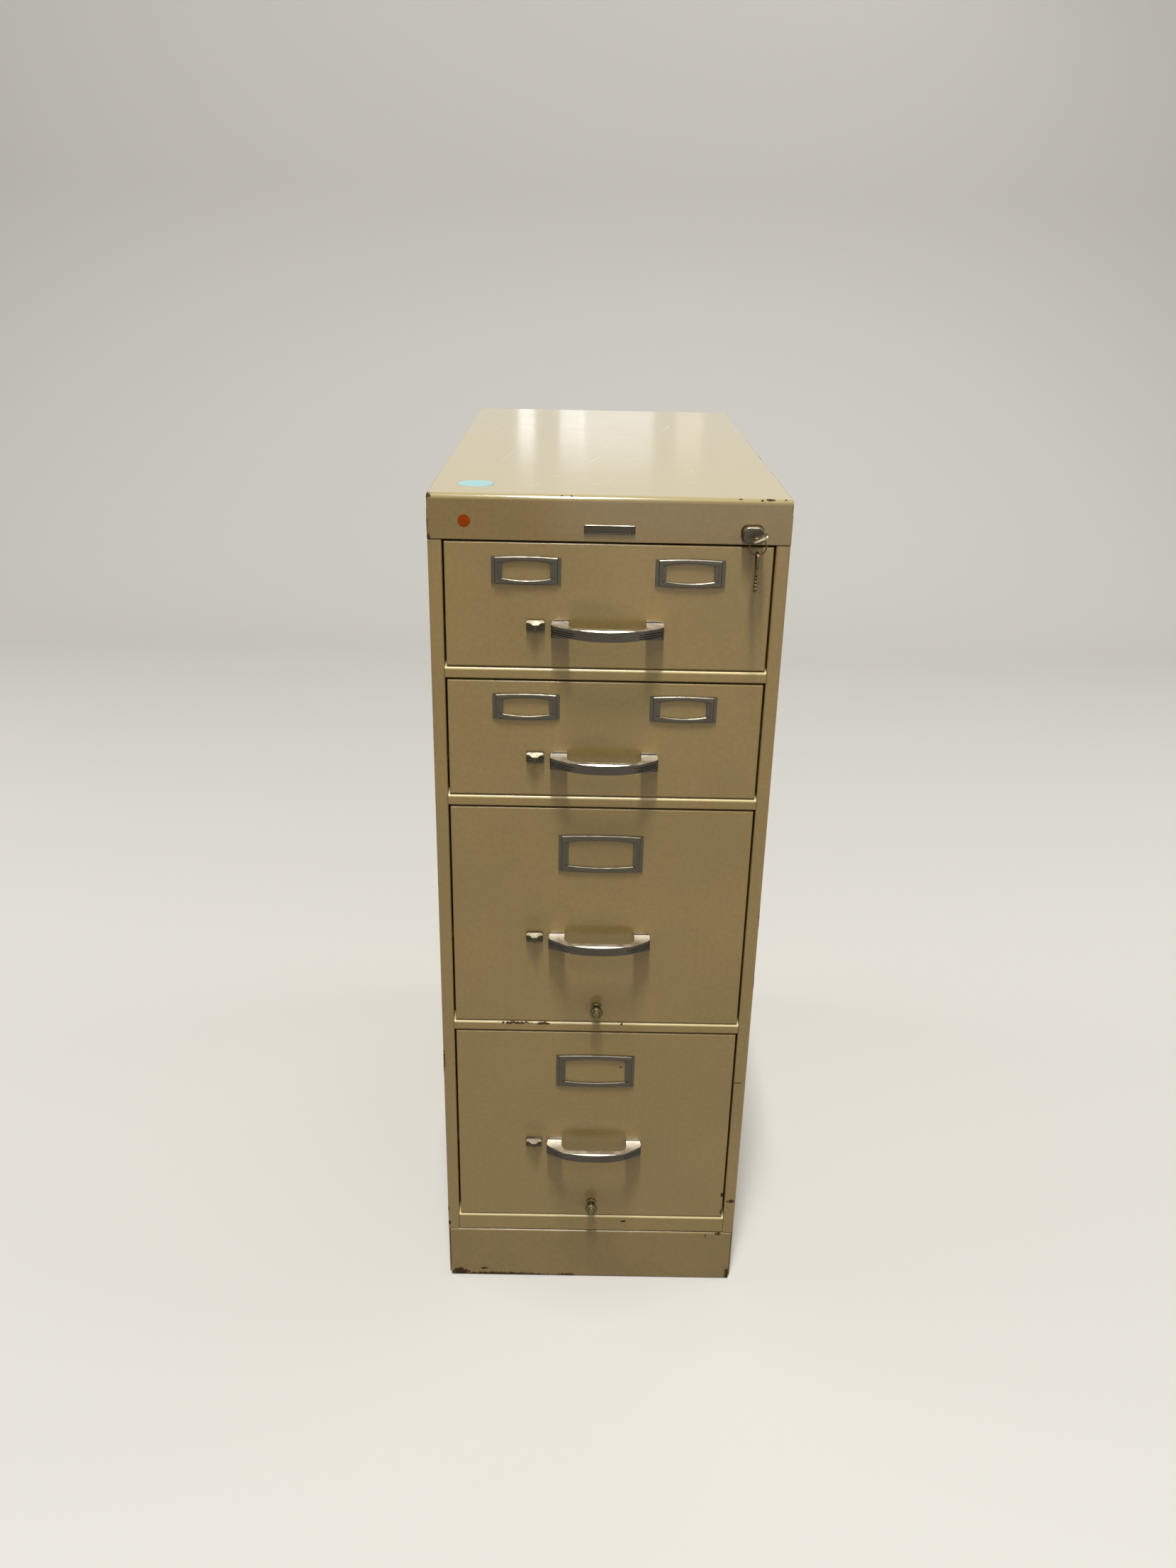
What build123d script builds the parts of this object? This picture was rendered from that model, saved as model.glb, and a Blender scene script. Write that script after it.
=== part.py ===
"""A vertical file with two card drawers over two letter drawers.

The origin is on the floor under the middle of the whole cabinet, from the keys
that hang in front of it to its back. X runs to the right as seen from the
front, Y runs to the back and Z runs up. Sizes are millimetres.
"""
from build123d import *
import os

# Overall case
case_width = 381.0
case_depth = 723.9
case_height = 1054.1
case_sheet = 1.2
bend_radius = 2.4

# Front frame
stile_width = 15.0
post_depth = 22.0
header_height = 47.6
header_radius = 6.0
header_lip = 16.0
cover_lap = 15.0
rail_height = 12.7
rail_depth = 22.0
rail_top_radius = 3.2
card_opening = 139.7
plinth_height = 79.4
base_rail_height = 24.6
plinth_side_gap = 2.6
plinth_proud = 0.8
seam = 0.8

# Plated nameplate on the header
nameplate_x = 0.3
nameplate_rise = 13.2
nameplate_width = 53.6
nameplate_height = 9.4
nameplate_thickness = 1.6
nameplate_corner = 1.2
nameplate_bevel = 0.4
nameplate_rim = 1.1
nameplate_sink = 0.9
flutes = 13
flute_pitch = 3.78
flute_width = 1.5
flute_height = 0.54

# Inner frame
flange = 18.0
floor_flange = 12.0
base_pan_height = 20.0
upright_width = 25.0
front_upright_setback = 40.0
rear_upright_setback = 32.0

# Drawer fronts
front_gap_side = 2.0
front_gap_top = 2.0
front_gap_bottom = 1.2
front_recess = 0.6
front_thickness = 20.0
front_sheet = 1.0
front_edge_radius = 1.6

# Drawer bodies
drawer_sheet = 1.0
drawer_side_gap = 29.5
drawer_floor_rise = 6.0
drawer_bend = 1.4
drawer_hem = 4.5
drawer_rear_gap = 61.0
card_body_head_gap = 35.7
file_body_head_gap = 50.1
row_divider_height = 64.0

# Telescoping slides
slide_rise = 45.0
slide_sheet = 1.2
outer_track = 26.0
inner_track = 22.4
roller_clearance = 0.3
roller_width = 4.8
roller_pin_half = 3.0
roller_spacer = 1.2
runner_sheet = 1.5
runner_edge_gap = 3.0
runner_front_gap = 4.0
member_gap = 0.4
case_channel_lip = 7.0
slide_channel_depth = 7.0
slide_rear_gap = 52.0
roller_end_gap = 1.5
drawer_travel = 640.0

# Handles
handle_span = 121.0
handle_reach = 30.0
handle_foot = 19.0
handle_height = 18.4
handle_lip = 4.0
handle_lip_height = 1.5
handle_grip_drop = 4.0
handle_foot_height = 17.6
handle_grip_height = 9.8
handle_grip_depth = 8.0
handle_bow = 2.6
handle_front_bow = 2.6
handle_shoulder_depth = 12.5
handle_shoulder_radius = 6.0
handle_top_radius = 4.5
handle_taper = 22.0
handle_edge_radius = 0.8
handle_x = 0.6
speed_lines = 3
speed_line_drop = 7.8
speed_line_pitch = 2.2
speed_line_height = 1.0
speed_line_depth = 0.8
speed_line_run = 27.0

# Thumb latches
latch_width = 20.0
latch_height = 13.8
latch_corner = 2.4
latch_reach = 9.0
latch_scoop_depth = 2.2
latch_foot = 2.4
latch_brow_chamfer = 1.2
latch_nose_drop = 4.4
latch_rib_half = 1.5
latch_groove_pitch = 2.5
latch_groove_height = 0.9
latch_groove_depth = 0.9
latch_sheet_gap = 0.3
latch_gap = 16.7
latch_travel = 5.0
bolt_height = 6.0
bolt_thickness = 2.5
bolt_set_back = 11.25
bolt_clearance = 0.5

# Label holders
card_label = (74.0, 31.0)
file_label = (98.0, 48.0)
card_label_bar = 4.8
file_label_bar = 6.4
label_side_bar = 11.5
label_thickness = 2.6
label_bulge = 1.2
label_window_bulge = 2.4
label_step = 3.6
label_step_thickness = 1.5
label_ledge = 0.4
label_bevel = 0.8
label_panel_width = 5.0
label_panel_depth = 0.6
label_dimple = 2.4
label_dimple_depth = 1.1
label_card_slot = 0.8
label_slot_lap = 4.0

# Guide rods of the letter drawers
rod_radius = 2.4
rod_rise = 23.2
rod_x = -0.7
rod_tip_bevel = 0.8
knob_radius = 7.9
knob_reach = 18.0
knob_collar_radius = 6.4
knob_collar_length = 2.2
knob_neck_radius = 4.8
knob_neck_start = 3.4
knob_waist_radius = 4.4
knob_waist_length = 9.0
knob_head_start = 12.4
knob_crown_drop = 0.9
knob_crown_start = 15.6
knob_dish_radius = 4.9
knob_dish_rim = 0.6
knob_dish_depth = 0.5
rod_clearance = 0.3
rod_bracket_wall = 3.0
rod_bracket_length = 12.0

# Followers that press the files forward
follower_sheet = 1.2
follower_base = 52.0
follower_back_gap = 75.0
follower_side_gap = 3.0
follower_slot_width = 6.0
follower_slot_spread = 46.0
follower_slot_end_gap = 29.0
follower_tab_clearance = 0.4
follower_tab_start = 16.0
follower_tab_length = 20.0
follower_tab_lap = 4.6
follower_head_gap = 24.0
follower_lean = 12.0
follower_lip = 8.0
follower_bend = 2.0
follower_notch = 9.0
floor_gap = 0.3

# Push lock in the header
lock_side_gap = 40.9
lock_rise = 11.7
plunger_width = 22.4
plunger_height = 17.6
plunger_corner = 6.6
plunger_nose_radius = 1.6
plunger_proud = 10.0
plunger_travel = 9.0
plunger_length = 40.0
lock_clearance = 0.3
housing_wall = 3.0
housing_low_wall = 1.0
housing_length = 19.5
plug_offset = 5.0
plug_radius = 4.8
plug_length = 33.0
plug_clearance = 0.05
plug_proud = 0.6
plug_end_gap = 1.0
keyway_clearance = 0.1
key_turn = 25.0
key_thickness = 2.2
key_bow = 17.0
key_bow_corner = 6.1
key_bow_start = 2.0
key_shoulder = 9.5
key_blade_width = 7.6
key_blade_length = 23.0
key_cuts = 4
key_cut = 2.4
key_cut_start = 6.0
key_cut_pitch = 3.8
key_cut_rise = 0.5
key_hole_radius = 2.2
key_hole_rim = 2.4
key_hole_half_slot = 2.6
ring_radius = 8.8
ring_wire_width = 1.8
ring_wire_thickness = 1.3
ring_wire_bevel = 0.35
ring_clearance = 0.3
cam_pin_radius = 2.0
cam_clearance = 0.2
cam_pin_set_back = 13.0
cam_pin_seat = 2.0
cam_pin_length = 11.5

# Lock bar
bar_thickness = 2.0
bar_width = 14.0
bar_gap = 0.4
bar_plate_gap = 5.0
bar_plate_margin = 5.0
bar_plate_drop = 8.0
bar_head_rise = 17.0
bar_tail = 14.0
lug_height = 6.0
lug_lap = 3.0
lug_gap = 1.0
lug_set_back = 1.0
catch_rise = 71.8
catch_reach = 10.0
catch_height = 8.8
catch_set_back = 1.5
catch_back = 4.0

# Places that follow from the sizes above
key_hole_x = key_bow_start + key_bow - key_hole_rim - key_hole_radius
key_reach = plunger_proud + plug_proud + key_hole_x + key_bow / 2
front = -(case_depth - key_reach) / 2
back = front + case_depth
half_width = case_width / 2
opening_half = half_width - stile_width
header_bottom = case_height - header_height
inner_skin = half_width - case_sheet
face_y = front + front_recess
liner_y = face_y + front_thickness
slide_front_y = front + front_upright_setback
body_back_y = back - drawer_rear_gap
drawer_half_width = half_width - drawer_side_gap
drawer_inner_half = drawer_half_width - drawer_sheet
track_web = drawer_half_width + runner_sheet + member_gap + slide_channel_depth
roller_reach = track_web + member_gap + roller_width
case_web = roller_reach + member_gap
middle_roller_y = slide_front_y + (drawer_travel + outer_track) / 2 + roller_end_gap
rear_roller_y = body_back_y - outer_track / 2 + roller_end_gap
latch_x = handle_x - handle_span / 2 - latch_gap
card_label_x = (opening_half - front_gap_side) / 2
follower_y = body_back_y - follower_back_gap
follower_slot_length = body_back_y - liner_y - 2 * follower_slot_end_gap
lock_x = half_width - lock_side_gap
lock_z = header_bottom + lock_rise
plug_x = lock_x + plug_offset
cam_pin_y = front + bar_width + cam_pin_set_back


class Drawer:
    """One drawer's number, place and kind."""

    def __init__(self, number, bottom, opening, kind):
        self.number = number
        self.bottom = bottom
        self.opening = opening
        self.kind = kind
        self.floor = bottom + drawer_floor_rise
        self.face_bottom = bottom + front_gap_bottom
        self.face_top = bottom + opening - front_gap_top
        self.slide_z = bottom + slide_rise
        self.catch_z = bottom + catch_rise
        self.lug_z = self.catch_z + lug_gap


# The letter drawers share what the card drawers, rails and plinth leave of the height
bottom_4 = plinth_height + seam + base_rail_height
card_stack = 2 * (card_opening + rail_height)
file_opening = (header_bottom - bottom_4 - card_stack - rail_height) / 2
bottom_3 = bottom_4 + file_opening + rail_height
bottom_2 = bottom_3 + file_opening + rail_height
bottom_1 = bottom_2 + card_opening + rail_height
drawers = [
    Drawer(1, bottom_1, card_opening, "card"),
    Drawer(2, bottom_2, card_opening, "card"),
    Drawer(3, bottom_3, file_opening, "file"),
    Drawer(4, bottom_4, file_opening, "file"),
]

# Height of each handle's middle and each latch above its opening's bottom, and depth of each
# label's middle below its opening's top
handle_rise = {"card": 46.6, "file": 120.0}
latch_rise = {"card": 48.4, "file": 121.8}
label_drop = {"card": 31.5, "file": 58.9}
body_height = {
    "card": card_opening - drawer_floor_rise - card_body_head_gap,
    "file": file_opening - drawer_floor_rise - file_body_head_gap,
}
label_size = {"card": card_label, "file": file_label}
label_bar = {"card": card_label_bar, "file": file_label_bar}

os.makedirs("parts", exist_ok=True)


def save(piece, name):
    """Label a finished piece and write it as a file of its own."""
    piece.part.label = name
    export_step(piece.part, f"parts/{name}.step")


def facing(y):
    """Plane that faces the front of the case at depth y."""
    return Plane.XZ.offset(-y)


def folded_section(plane, points, radius, sheet, side):
    """Section of a folded sheet, from its outer line and the side that the metal lies on."""
    with BuildSketch(plane) as section:
        with BuildLine():
            FilletPolyline(*points, radius=radius)
            offset(amount=sheet, side=side)
        make_face()
    return section.sketch


def block(low, high):
    """Add a block between two corners to the piece being built."""
    middle = [(a + b) / 2 for a, b in zip(low, high)]
    size = [b - a for a, b in zip(low, high)]
    with Locations(tuple(middle)):
        Box(*size)


def cut_block(low, high):
    """Cut a block between two corners from the piece being built."""
    middle = [(a + b) / 2 for a, b in zip(low, high)]
    size = [b - a for a, b in zip(low, high)]
    with Locations(tuple(middle)):
        Box(*size, mode=Mode.SUBTRACT)


def span(hand, near, far):
    """Order two distances from the middle plane for the left (-1) or right (1) hand."""
    return sorted((hand * near, hand * far))


# Case panels


def make_side_panel(hand, name):
    """Outer skin folded round the front post, with flanges at the back and floor."""
    metal_side = Side.RIGHT if hand > 0 else Side.LEFT
    post_top = header_bottom - seam
    skin_top = case_height - cover_lap
    rear_flange = half_width - flange
    post_points = [
        (hand * rear_flange, back),
        (hand * half_width, back),
        (hand * half_width, front),
        (hand * opening_half, front),
        (hand * opening_half, front + post_depth),
        (hand * (inner_skin - bend_radius), front + post_depth),
    ]
    skin_points = [
        (hand * rear_flange, back),
        (hand * half_width, back),
        (hand * half_width, front + 2 * bend_radius),
    ]
    low_x, high_x = span(hand, half_width - floor_flange, inner_skin)
    with BuildPart() as side_panel:
        post_plane = Plane.XY.offset(plinth_height + seam)
        post = folded_section(post_plane, post_points, bend_radius, case_sheet, metal_side)
        extrude(post, amount=post_top - plinth_height - seam)
        skin = folded_section(Plane.XY, skin_points, bend_radius, case_sheet, metal_side)
        extrude(skin, amount=skin_top)
        block((low_x, front + post_depth, 0), (high_x, back - post_depth, case_sheet))
        if hand < 0:
            for drawer in drawers:
                keeper_z = drawer.bottom + latch_rise[drawer.kind]
                keeper_x = -opening_half - case_sheet / 2
                with Locations((keeper_x, front + front_thickness / 2, keeper_z)):
                    Box(2 * case_sheet, front_thickness / 2, 2 * bolt_height, mode=Mode.SUBTRACT)
    save(side_panel, name)


def make_top_cover():
    """Shallow pan with a deep front flange, the header, that closes the front frame."""
    lap_z = case_height - cover_lap
    with BuildPart() as top_cover:
        block((-half_width, front, lap_z), (half_width, back, case_height))
        top_edges = top_cover.faces().sort_by(Axis.Z)[-1].edges()
        fillet(top_edges.sort_by(Axis.Y)[0], radius=header_radius)
        rear_and_sides = top_cover.faces().sort_by(Axis.Z)[-1].edges().sort_by(Axis.Y)[1:]
        fillet(rear_and_sides, radius=bend_radius)
        offset(amount=-case_sheet, openings=top_cover.faces().sort_by(Axis.Z)[0])
        block((-half_width, front, header_bottom), (half_width, front + case_sheet, lap_z))
        block(
            (-inner_skin + seam, front, header_bottom),
            (inner_skin - seam, front + header_lip, header_bottom + case_sheet),
        )
        lip_edge = top_cover.edges().filter_by(Axis.X).filter_by_position(
            Axis.Z, header_bottom - 0.1, header_bottom + 0.1
        )
        fillet(lip_edge.sort_by(Axis.Y)[0], radius=case_sheet * 0.7)
        with BuildSketch(facing(front)):
            with Locations((lock_x, lock_z)):
                RectangleRounded(
                    plunger_width + 4 * lock_clearance,
                    plunger_height + 4 * lock_clearance,
                    plunger_corner + lock_clearance,
                )
        extrude(amount=-header_radius, mode=Mode.SUBTRACT)
    save(top_cover, "top_cover")


def make_back_panel():
    """Flat sheet welded inside the rear flanges of the sides, down to the floor."""
    edge = half_width - bend_radius
    plate_y = back - case_sheet
    with BuildPart() as back_panel:
        block((-edge, plate_y - case_sheet, 0), (edge, plate_y, case_height - cover_lap))
    save(back_panel, "back_panel")


def make_base_pan():
    """Shallow upside-down pan that ties the foot of the case together."""
    top = plinth_height
    with BuildPart() as base_pan:
        block(
            (-inner_skin, front + rail_depth, top - base_pan_height),
            (inner_skin, back - 2 * case_sheet, top),
        )
        offset(amount=-case_sheet, openings=base_pan.faces().sort_by(Axis.Z)[0])
    save(base_pan, "base_pan")


def make_kick_plate():
    """Plinth plate between the side skins, folded back along its top and foot."""
    width = 2 * (half_width - plinth_side_gap)
    face = front - plinth_proud
    points = [
        (front + rail_depth, plinth_height),
        (face, plinth_height),
        (face, 0),
        (front + rail_depth - bend_radius, 0),
    ]
    with BuildPart() as kick_plate:
        section = folded_section(Plane.YZ, points, bend_radius, case_sheet, Side.LEFT)
        extrude(section, amount=width / 2, both=True)
    save(kick_plate, "kick_plate")


def make_rail(low, high, name):
    """Channel between the stiles with a well rounded top edge."""
    points = [
        (front + rail_depth, low),
        (front, low),
        (front, high),
        (front + rail_depth, high),
    ]
    radii = [case_sheet * 1.25, rail_top_radius]
    with BuildPart() as rail:
        section = folded_section(Plane.YZ, points, radii, case_sheet, Side.RIGHT)
        extrude(section, amount=opening_half, both=True)
    save(rail, name)


def make_uprights(setback_y, name):
    """Pair of channels inside the skins that carry the case channels."""
    low_z = plinth_height
    high_z = case_height - cover_lap
    web_x = case_web + slide_sheet
    with BuildPart() as uprights:
        for hand in (-1, 1):
            low_x, high_x = span(hand, web_x, inner_skin)
            hollow_low, hollow_high = span(hand, web_x + case_sheet, inner_skin)
            block((low_x, setback_y, low_z), (high_x, setback_y + upright_width, high_z))
            cut_block(
                (hollow_low, setback_y + case_sheet, low_z),
                (hollow_high, setback_y + upright_width - case_sheet, high_z),
            )
    save(uprights, name)


def make_case_channels(hand, name):
    """One track for each drawer on one side of the case, open towards the drawer."""
    half_height = outer_track / 2 + slide_sheet
    low_x, high_x = span(hand, case_web - case_channel_lip + slide_sheet, case_web + slide_sheet)
    hollow_low, hollow_high = span(hand, case_web - case_channel_lip, case_web)
    channel_back_y = back - rear_upright_setback
    with BuildPart() as case_channels:
        for drawer in drawers:
            block(
                (low_x, slide_front_y, drawer.slide_z - half_height),
                (high_x, channel_back_y, drawer.slide_z + half_height),
            )
            cut_block(
                (hollow_low, slide_front_y, drawer.slide_z - outer_track / 2),
                (hollow_high, channel_back_y - slide_sheet, drawer.slide_z + outer_track / 2),
            )
    save(case_channels, name)


def make_nameplate():
    """Plated badge frame on the header with a sunk field of plain flutes, no lettering."""
    field_width = nameplate_width - 2 * nameplate_rim
    field_height = nameplate_height - 2 * nameplate_rim
    place = (nameplate_x, header_bottom + nameplate_rise)
    with BuildPart() as nameplate:
        with BuildSketch(facing(front)):
            with Locations(place):
                RectangleRounded(nameplate_width, nameplate_height, nameplate_corner)
        extrude(amount=nameplate_thickness)
        chamfer(nameplate.faces().sort_by(Axis.Y)[0].edges(), length=nameplate_bevel)
        with BuildSketch(facing(front - nameplate_thickness)):
            with Locations(place):
                Rectangle(field_width, field_height)
        extrude(amount=-nameplate_sink, mode=Mode.SUBTRACT)
        with BuildSketch(facing(front - nameplate_thickness + nameplate_sink)):
            with Locations(place):
                with GridLocations(flute_pitch, 0, flutes, 1):
                    Rectangle(flute_width, field_height - 2 * nameplate_rim)
        extrude(amount=flute_height)
    save(nameplate, "nameplate")


# Drawers


def make_drawer_front(drawer):
    """Pressed pan whose rear edges meet the liner of the drawer body."""
    face_half = opening_half - front_gap_side
    with BuildPart() as drawer_front:
        block(
            (-face_half, face_y, drawer.face_bottom),
            (face_half, liner_y, drawer.face_top),
        )
        front_face = drawer_front.faces().sort_by(Axis.Y)[0]
        fillet(front_face.edges(), radius=front_edge_radius)
        offset(amount=-front_sheet, openings=drawer_front.faces().sort_by(Axis.Y)[-1])
        # Slot that the thumb latch works through
        latch_z = drawer.bottom + latch_rise[drawer.kind]
        slot_low = latch_z - bolt_height / 2 - bolt_clearance
        slot_high = latch_z + bolt_height / 2 + bolt_clearance
        cut_block(
            (latch_x - bolt_thickness, face_y - front_sheet, slot_low),
            (latch_x + bolt_thickness + latch_travel, face_y + 2 * front_sheet, slot_high),
        )
        # Window in the left edge that the bolt comes out of
        bolt_y = liner_y - bolt_set_back
        cut_block(
            (-face_half - front_sheet, bolt_y - bolt_thickness, slot_low),
            (-face_half + 2 * front_sheet, bolt_y + 2 * bolt_thickness, slot_high),
        )
        if drawer.kind == "file":
            with BuildSketch(facing(face_y)):
                with Locations((rod_x, drawer.bottom + rod_rise)):
                    Circle(rod_radius + rod_clearance)
            extrude(amount=-2 * front_sheet, mode=Mode.SUBTRACT)
    save(drawer_front, f"drawer_front_{drawer.number}")


def follower_rows(drawer):
    """Middle and width of each file row, and the distance of its floor slots from the middle."""
    if drawer.kind == "card":
        row = drawer_inner_half - drawer_sheet / 2
        middle = (drawer_inner_half + drawer_sheet / 2) / 2
        return [(-middle, row, 0.0), (middle, row, 0.0)]
    return [(0.0, 2 * drawer_inner_half, follower_slot_spread)]


def slot_places(drawer):
    """X of every slot in the drawer floor."""
    places = []
    for middle, _, distance in follower_rows(drawer):
        for x in {middle - distance, middle + distance}:
            places.append(x)
    return places


def make_drawer_body(drawer):
    """Wrap of sides and floor with a hem on each side, a back and a full-width liner."""
    height = body_height[drawer.kind]
    top = drawer.floor + height
    points = [
        (-drawer_half_width - drawer_hem, top),
        (-drawer_half_width, top),
        (-drawer_half_width, drawer.floor),
        (drawer_half_width, drawer.floor),
        (drawer_half_width, top),
        (drawer_half_width + drawer_hem, top),
    ]
    face_half = opening_half - front_gap_side
    with BuildPart() as drawer_body:
        section = folded_section(facing(liner_y), points, drawer_bend, drawer_sheet, Side.LEFT)
        extrude(section, amount=liner_y - body_back_y)
        # Back wall
        block(
            (-drawer_half_width, body_back_y - drawer_sheet, drawer.floor),
            (drawer_half_width, body_back_y, top - drawer_hem),
        )
        # Liner that closes the pressed front
        block(
            (-face_half, liner_y, drawer.face_bottom + front_sheet),
            (face_half, liner_y + drawer_sheet, drawer.face_top - front_sheet),
        )
        if drawer.kind == "card":
            block(
                (-drawer_sheet / 2, liner_y, drawer.floor),
                (drawer_sheet / 2, body_back_y, drawer.floor + row_divider_height),
            )
        for x in slot_places(drawer):
            with BuildSketch(Plane.XY.offset(drawer.floor)):
                with Locations((x, (liner_y + body_back_y) / 2)):
                    SlotOverall(follower_slot_length, follower_slot_width, rotation=90)
            extrude(amount=drawer_sheet, mode=Mode.SUBTRACT)
        # Catch that the lock bar holds back
        catch_y = slide_front_y - bar_gap - bar_width / 2
        block(
            (drawer_half_width, catch_y + catch_set_back, drawer.catch_z - catch_height),
            (drawer_half_width + catch_reach, catch_y + catch_back, drawer.catch_z),
        )
        if drawer.kind == "file":
            with BuildSketch(facing(liner_y)):
                with Locations((rod_x, drawer.bottom + rod_rise)):
                    Circle(rod_radius + rod_clearance)
            extrude(amount=-2 * drawer_sheet, mode=Mode.SUBTRACT)
            # Bracket at the back that the tip of the guide rod rests in
            with BuildSketch(facing(body_back_y - drawer_sheet)):
                with Locations((rod_x, drawer.bottom + rod_rise)):
                    Circle(rod_radius + rod_bracket_wall)
                    Circle(rod_radius + rod_clearance, mode=Mode.SUBTRACT)
            extrude(amount=rod_bracket_length)
    save(drawer_body, f"drawer_body_{drawer.number}")


def add_rollers(hand, seat, spacer, radius, middle_z):
    """Two rollers on one side, each on a square spacer that stands on the seat."""
    spacer_low, spacer_high = span(hand, seat, seat + spacer)
    for y in (middle_roller_y, rear_roller_y):
        block(
            (spacer_low, y - roller_pin_half, middle_z - roller_pin_half),
            (spacer_high, y + roller_pin_half, middle_z + roller_pin_half),
        )
        with Locations(Location((hand * (seat + spacer), y, middle_z), (0, hand * 90, 0))):
            Cylinder(radius, roller_width, align=(Align.CENTER, Align.CENTER, Align.MIN))


def make_drawer_runners(drawer):
    """Strips on the drawer sides with the rollers that run in the slide channels."""
    strip_half = inner_track / 2 - runner_edge_gap
    radius = inner_track / 2 - roller_clearance
    strip_face = drawer_half_width + runner_sheet
    with BuildPart() as runners:
        for hand in (-1, 1):
            low_x, high_x = span(hand, drawer_half_width, strip_face)
            block(
                (low_x, liner_y + runner_front_gap, drawer.slide_z - strip_half),
                (high_x, body_back_y, drawer.slide_z + strip_half),
            )
        for hand in (-1, 1):
            add_rollers(hand, strip_face, roller_spacer, radius, drawer.slide_z)
    save(runners, f"drawer_runners_{drawer.number}")


def make_slides(drawer):
    """Middle members: a channel on each side, with the rollers that run in the case."""
    half_height = inner_track / 2 + slide_sheet
    radius = outer_track / 2 - roller_clearance
    slide_back_y = back - slide_rear_gap
    channel_mouth = track_web - slide_channel_depth + member_gap / 2
    with BuildPart() as slides:
        for hand in (-1, 1):
            low_x, high_x = span(hand, channel_mouth, track_web)
            hollow_low, hollow_high = span(hand, channel_mouth, track_web - slide_sheet)
            block(
                (low_x, slide_front_y, drawer.slide_z - half_height),
                (high_x, slide_back_y, drawer.slide_z + half_height),
            )
            cut_block(
                (hollow_low, slide_front_y, drawer.slide_z - inner_track / 2),
                (hollow_high, slide_back_y, drawer.slide_z + inner_track / 2),
            )
            add_rollers(hand, track_web, member_gap, radius, drawer.slide_z)
    save(slides, f"slides_{drawer.number}")


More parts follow.
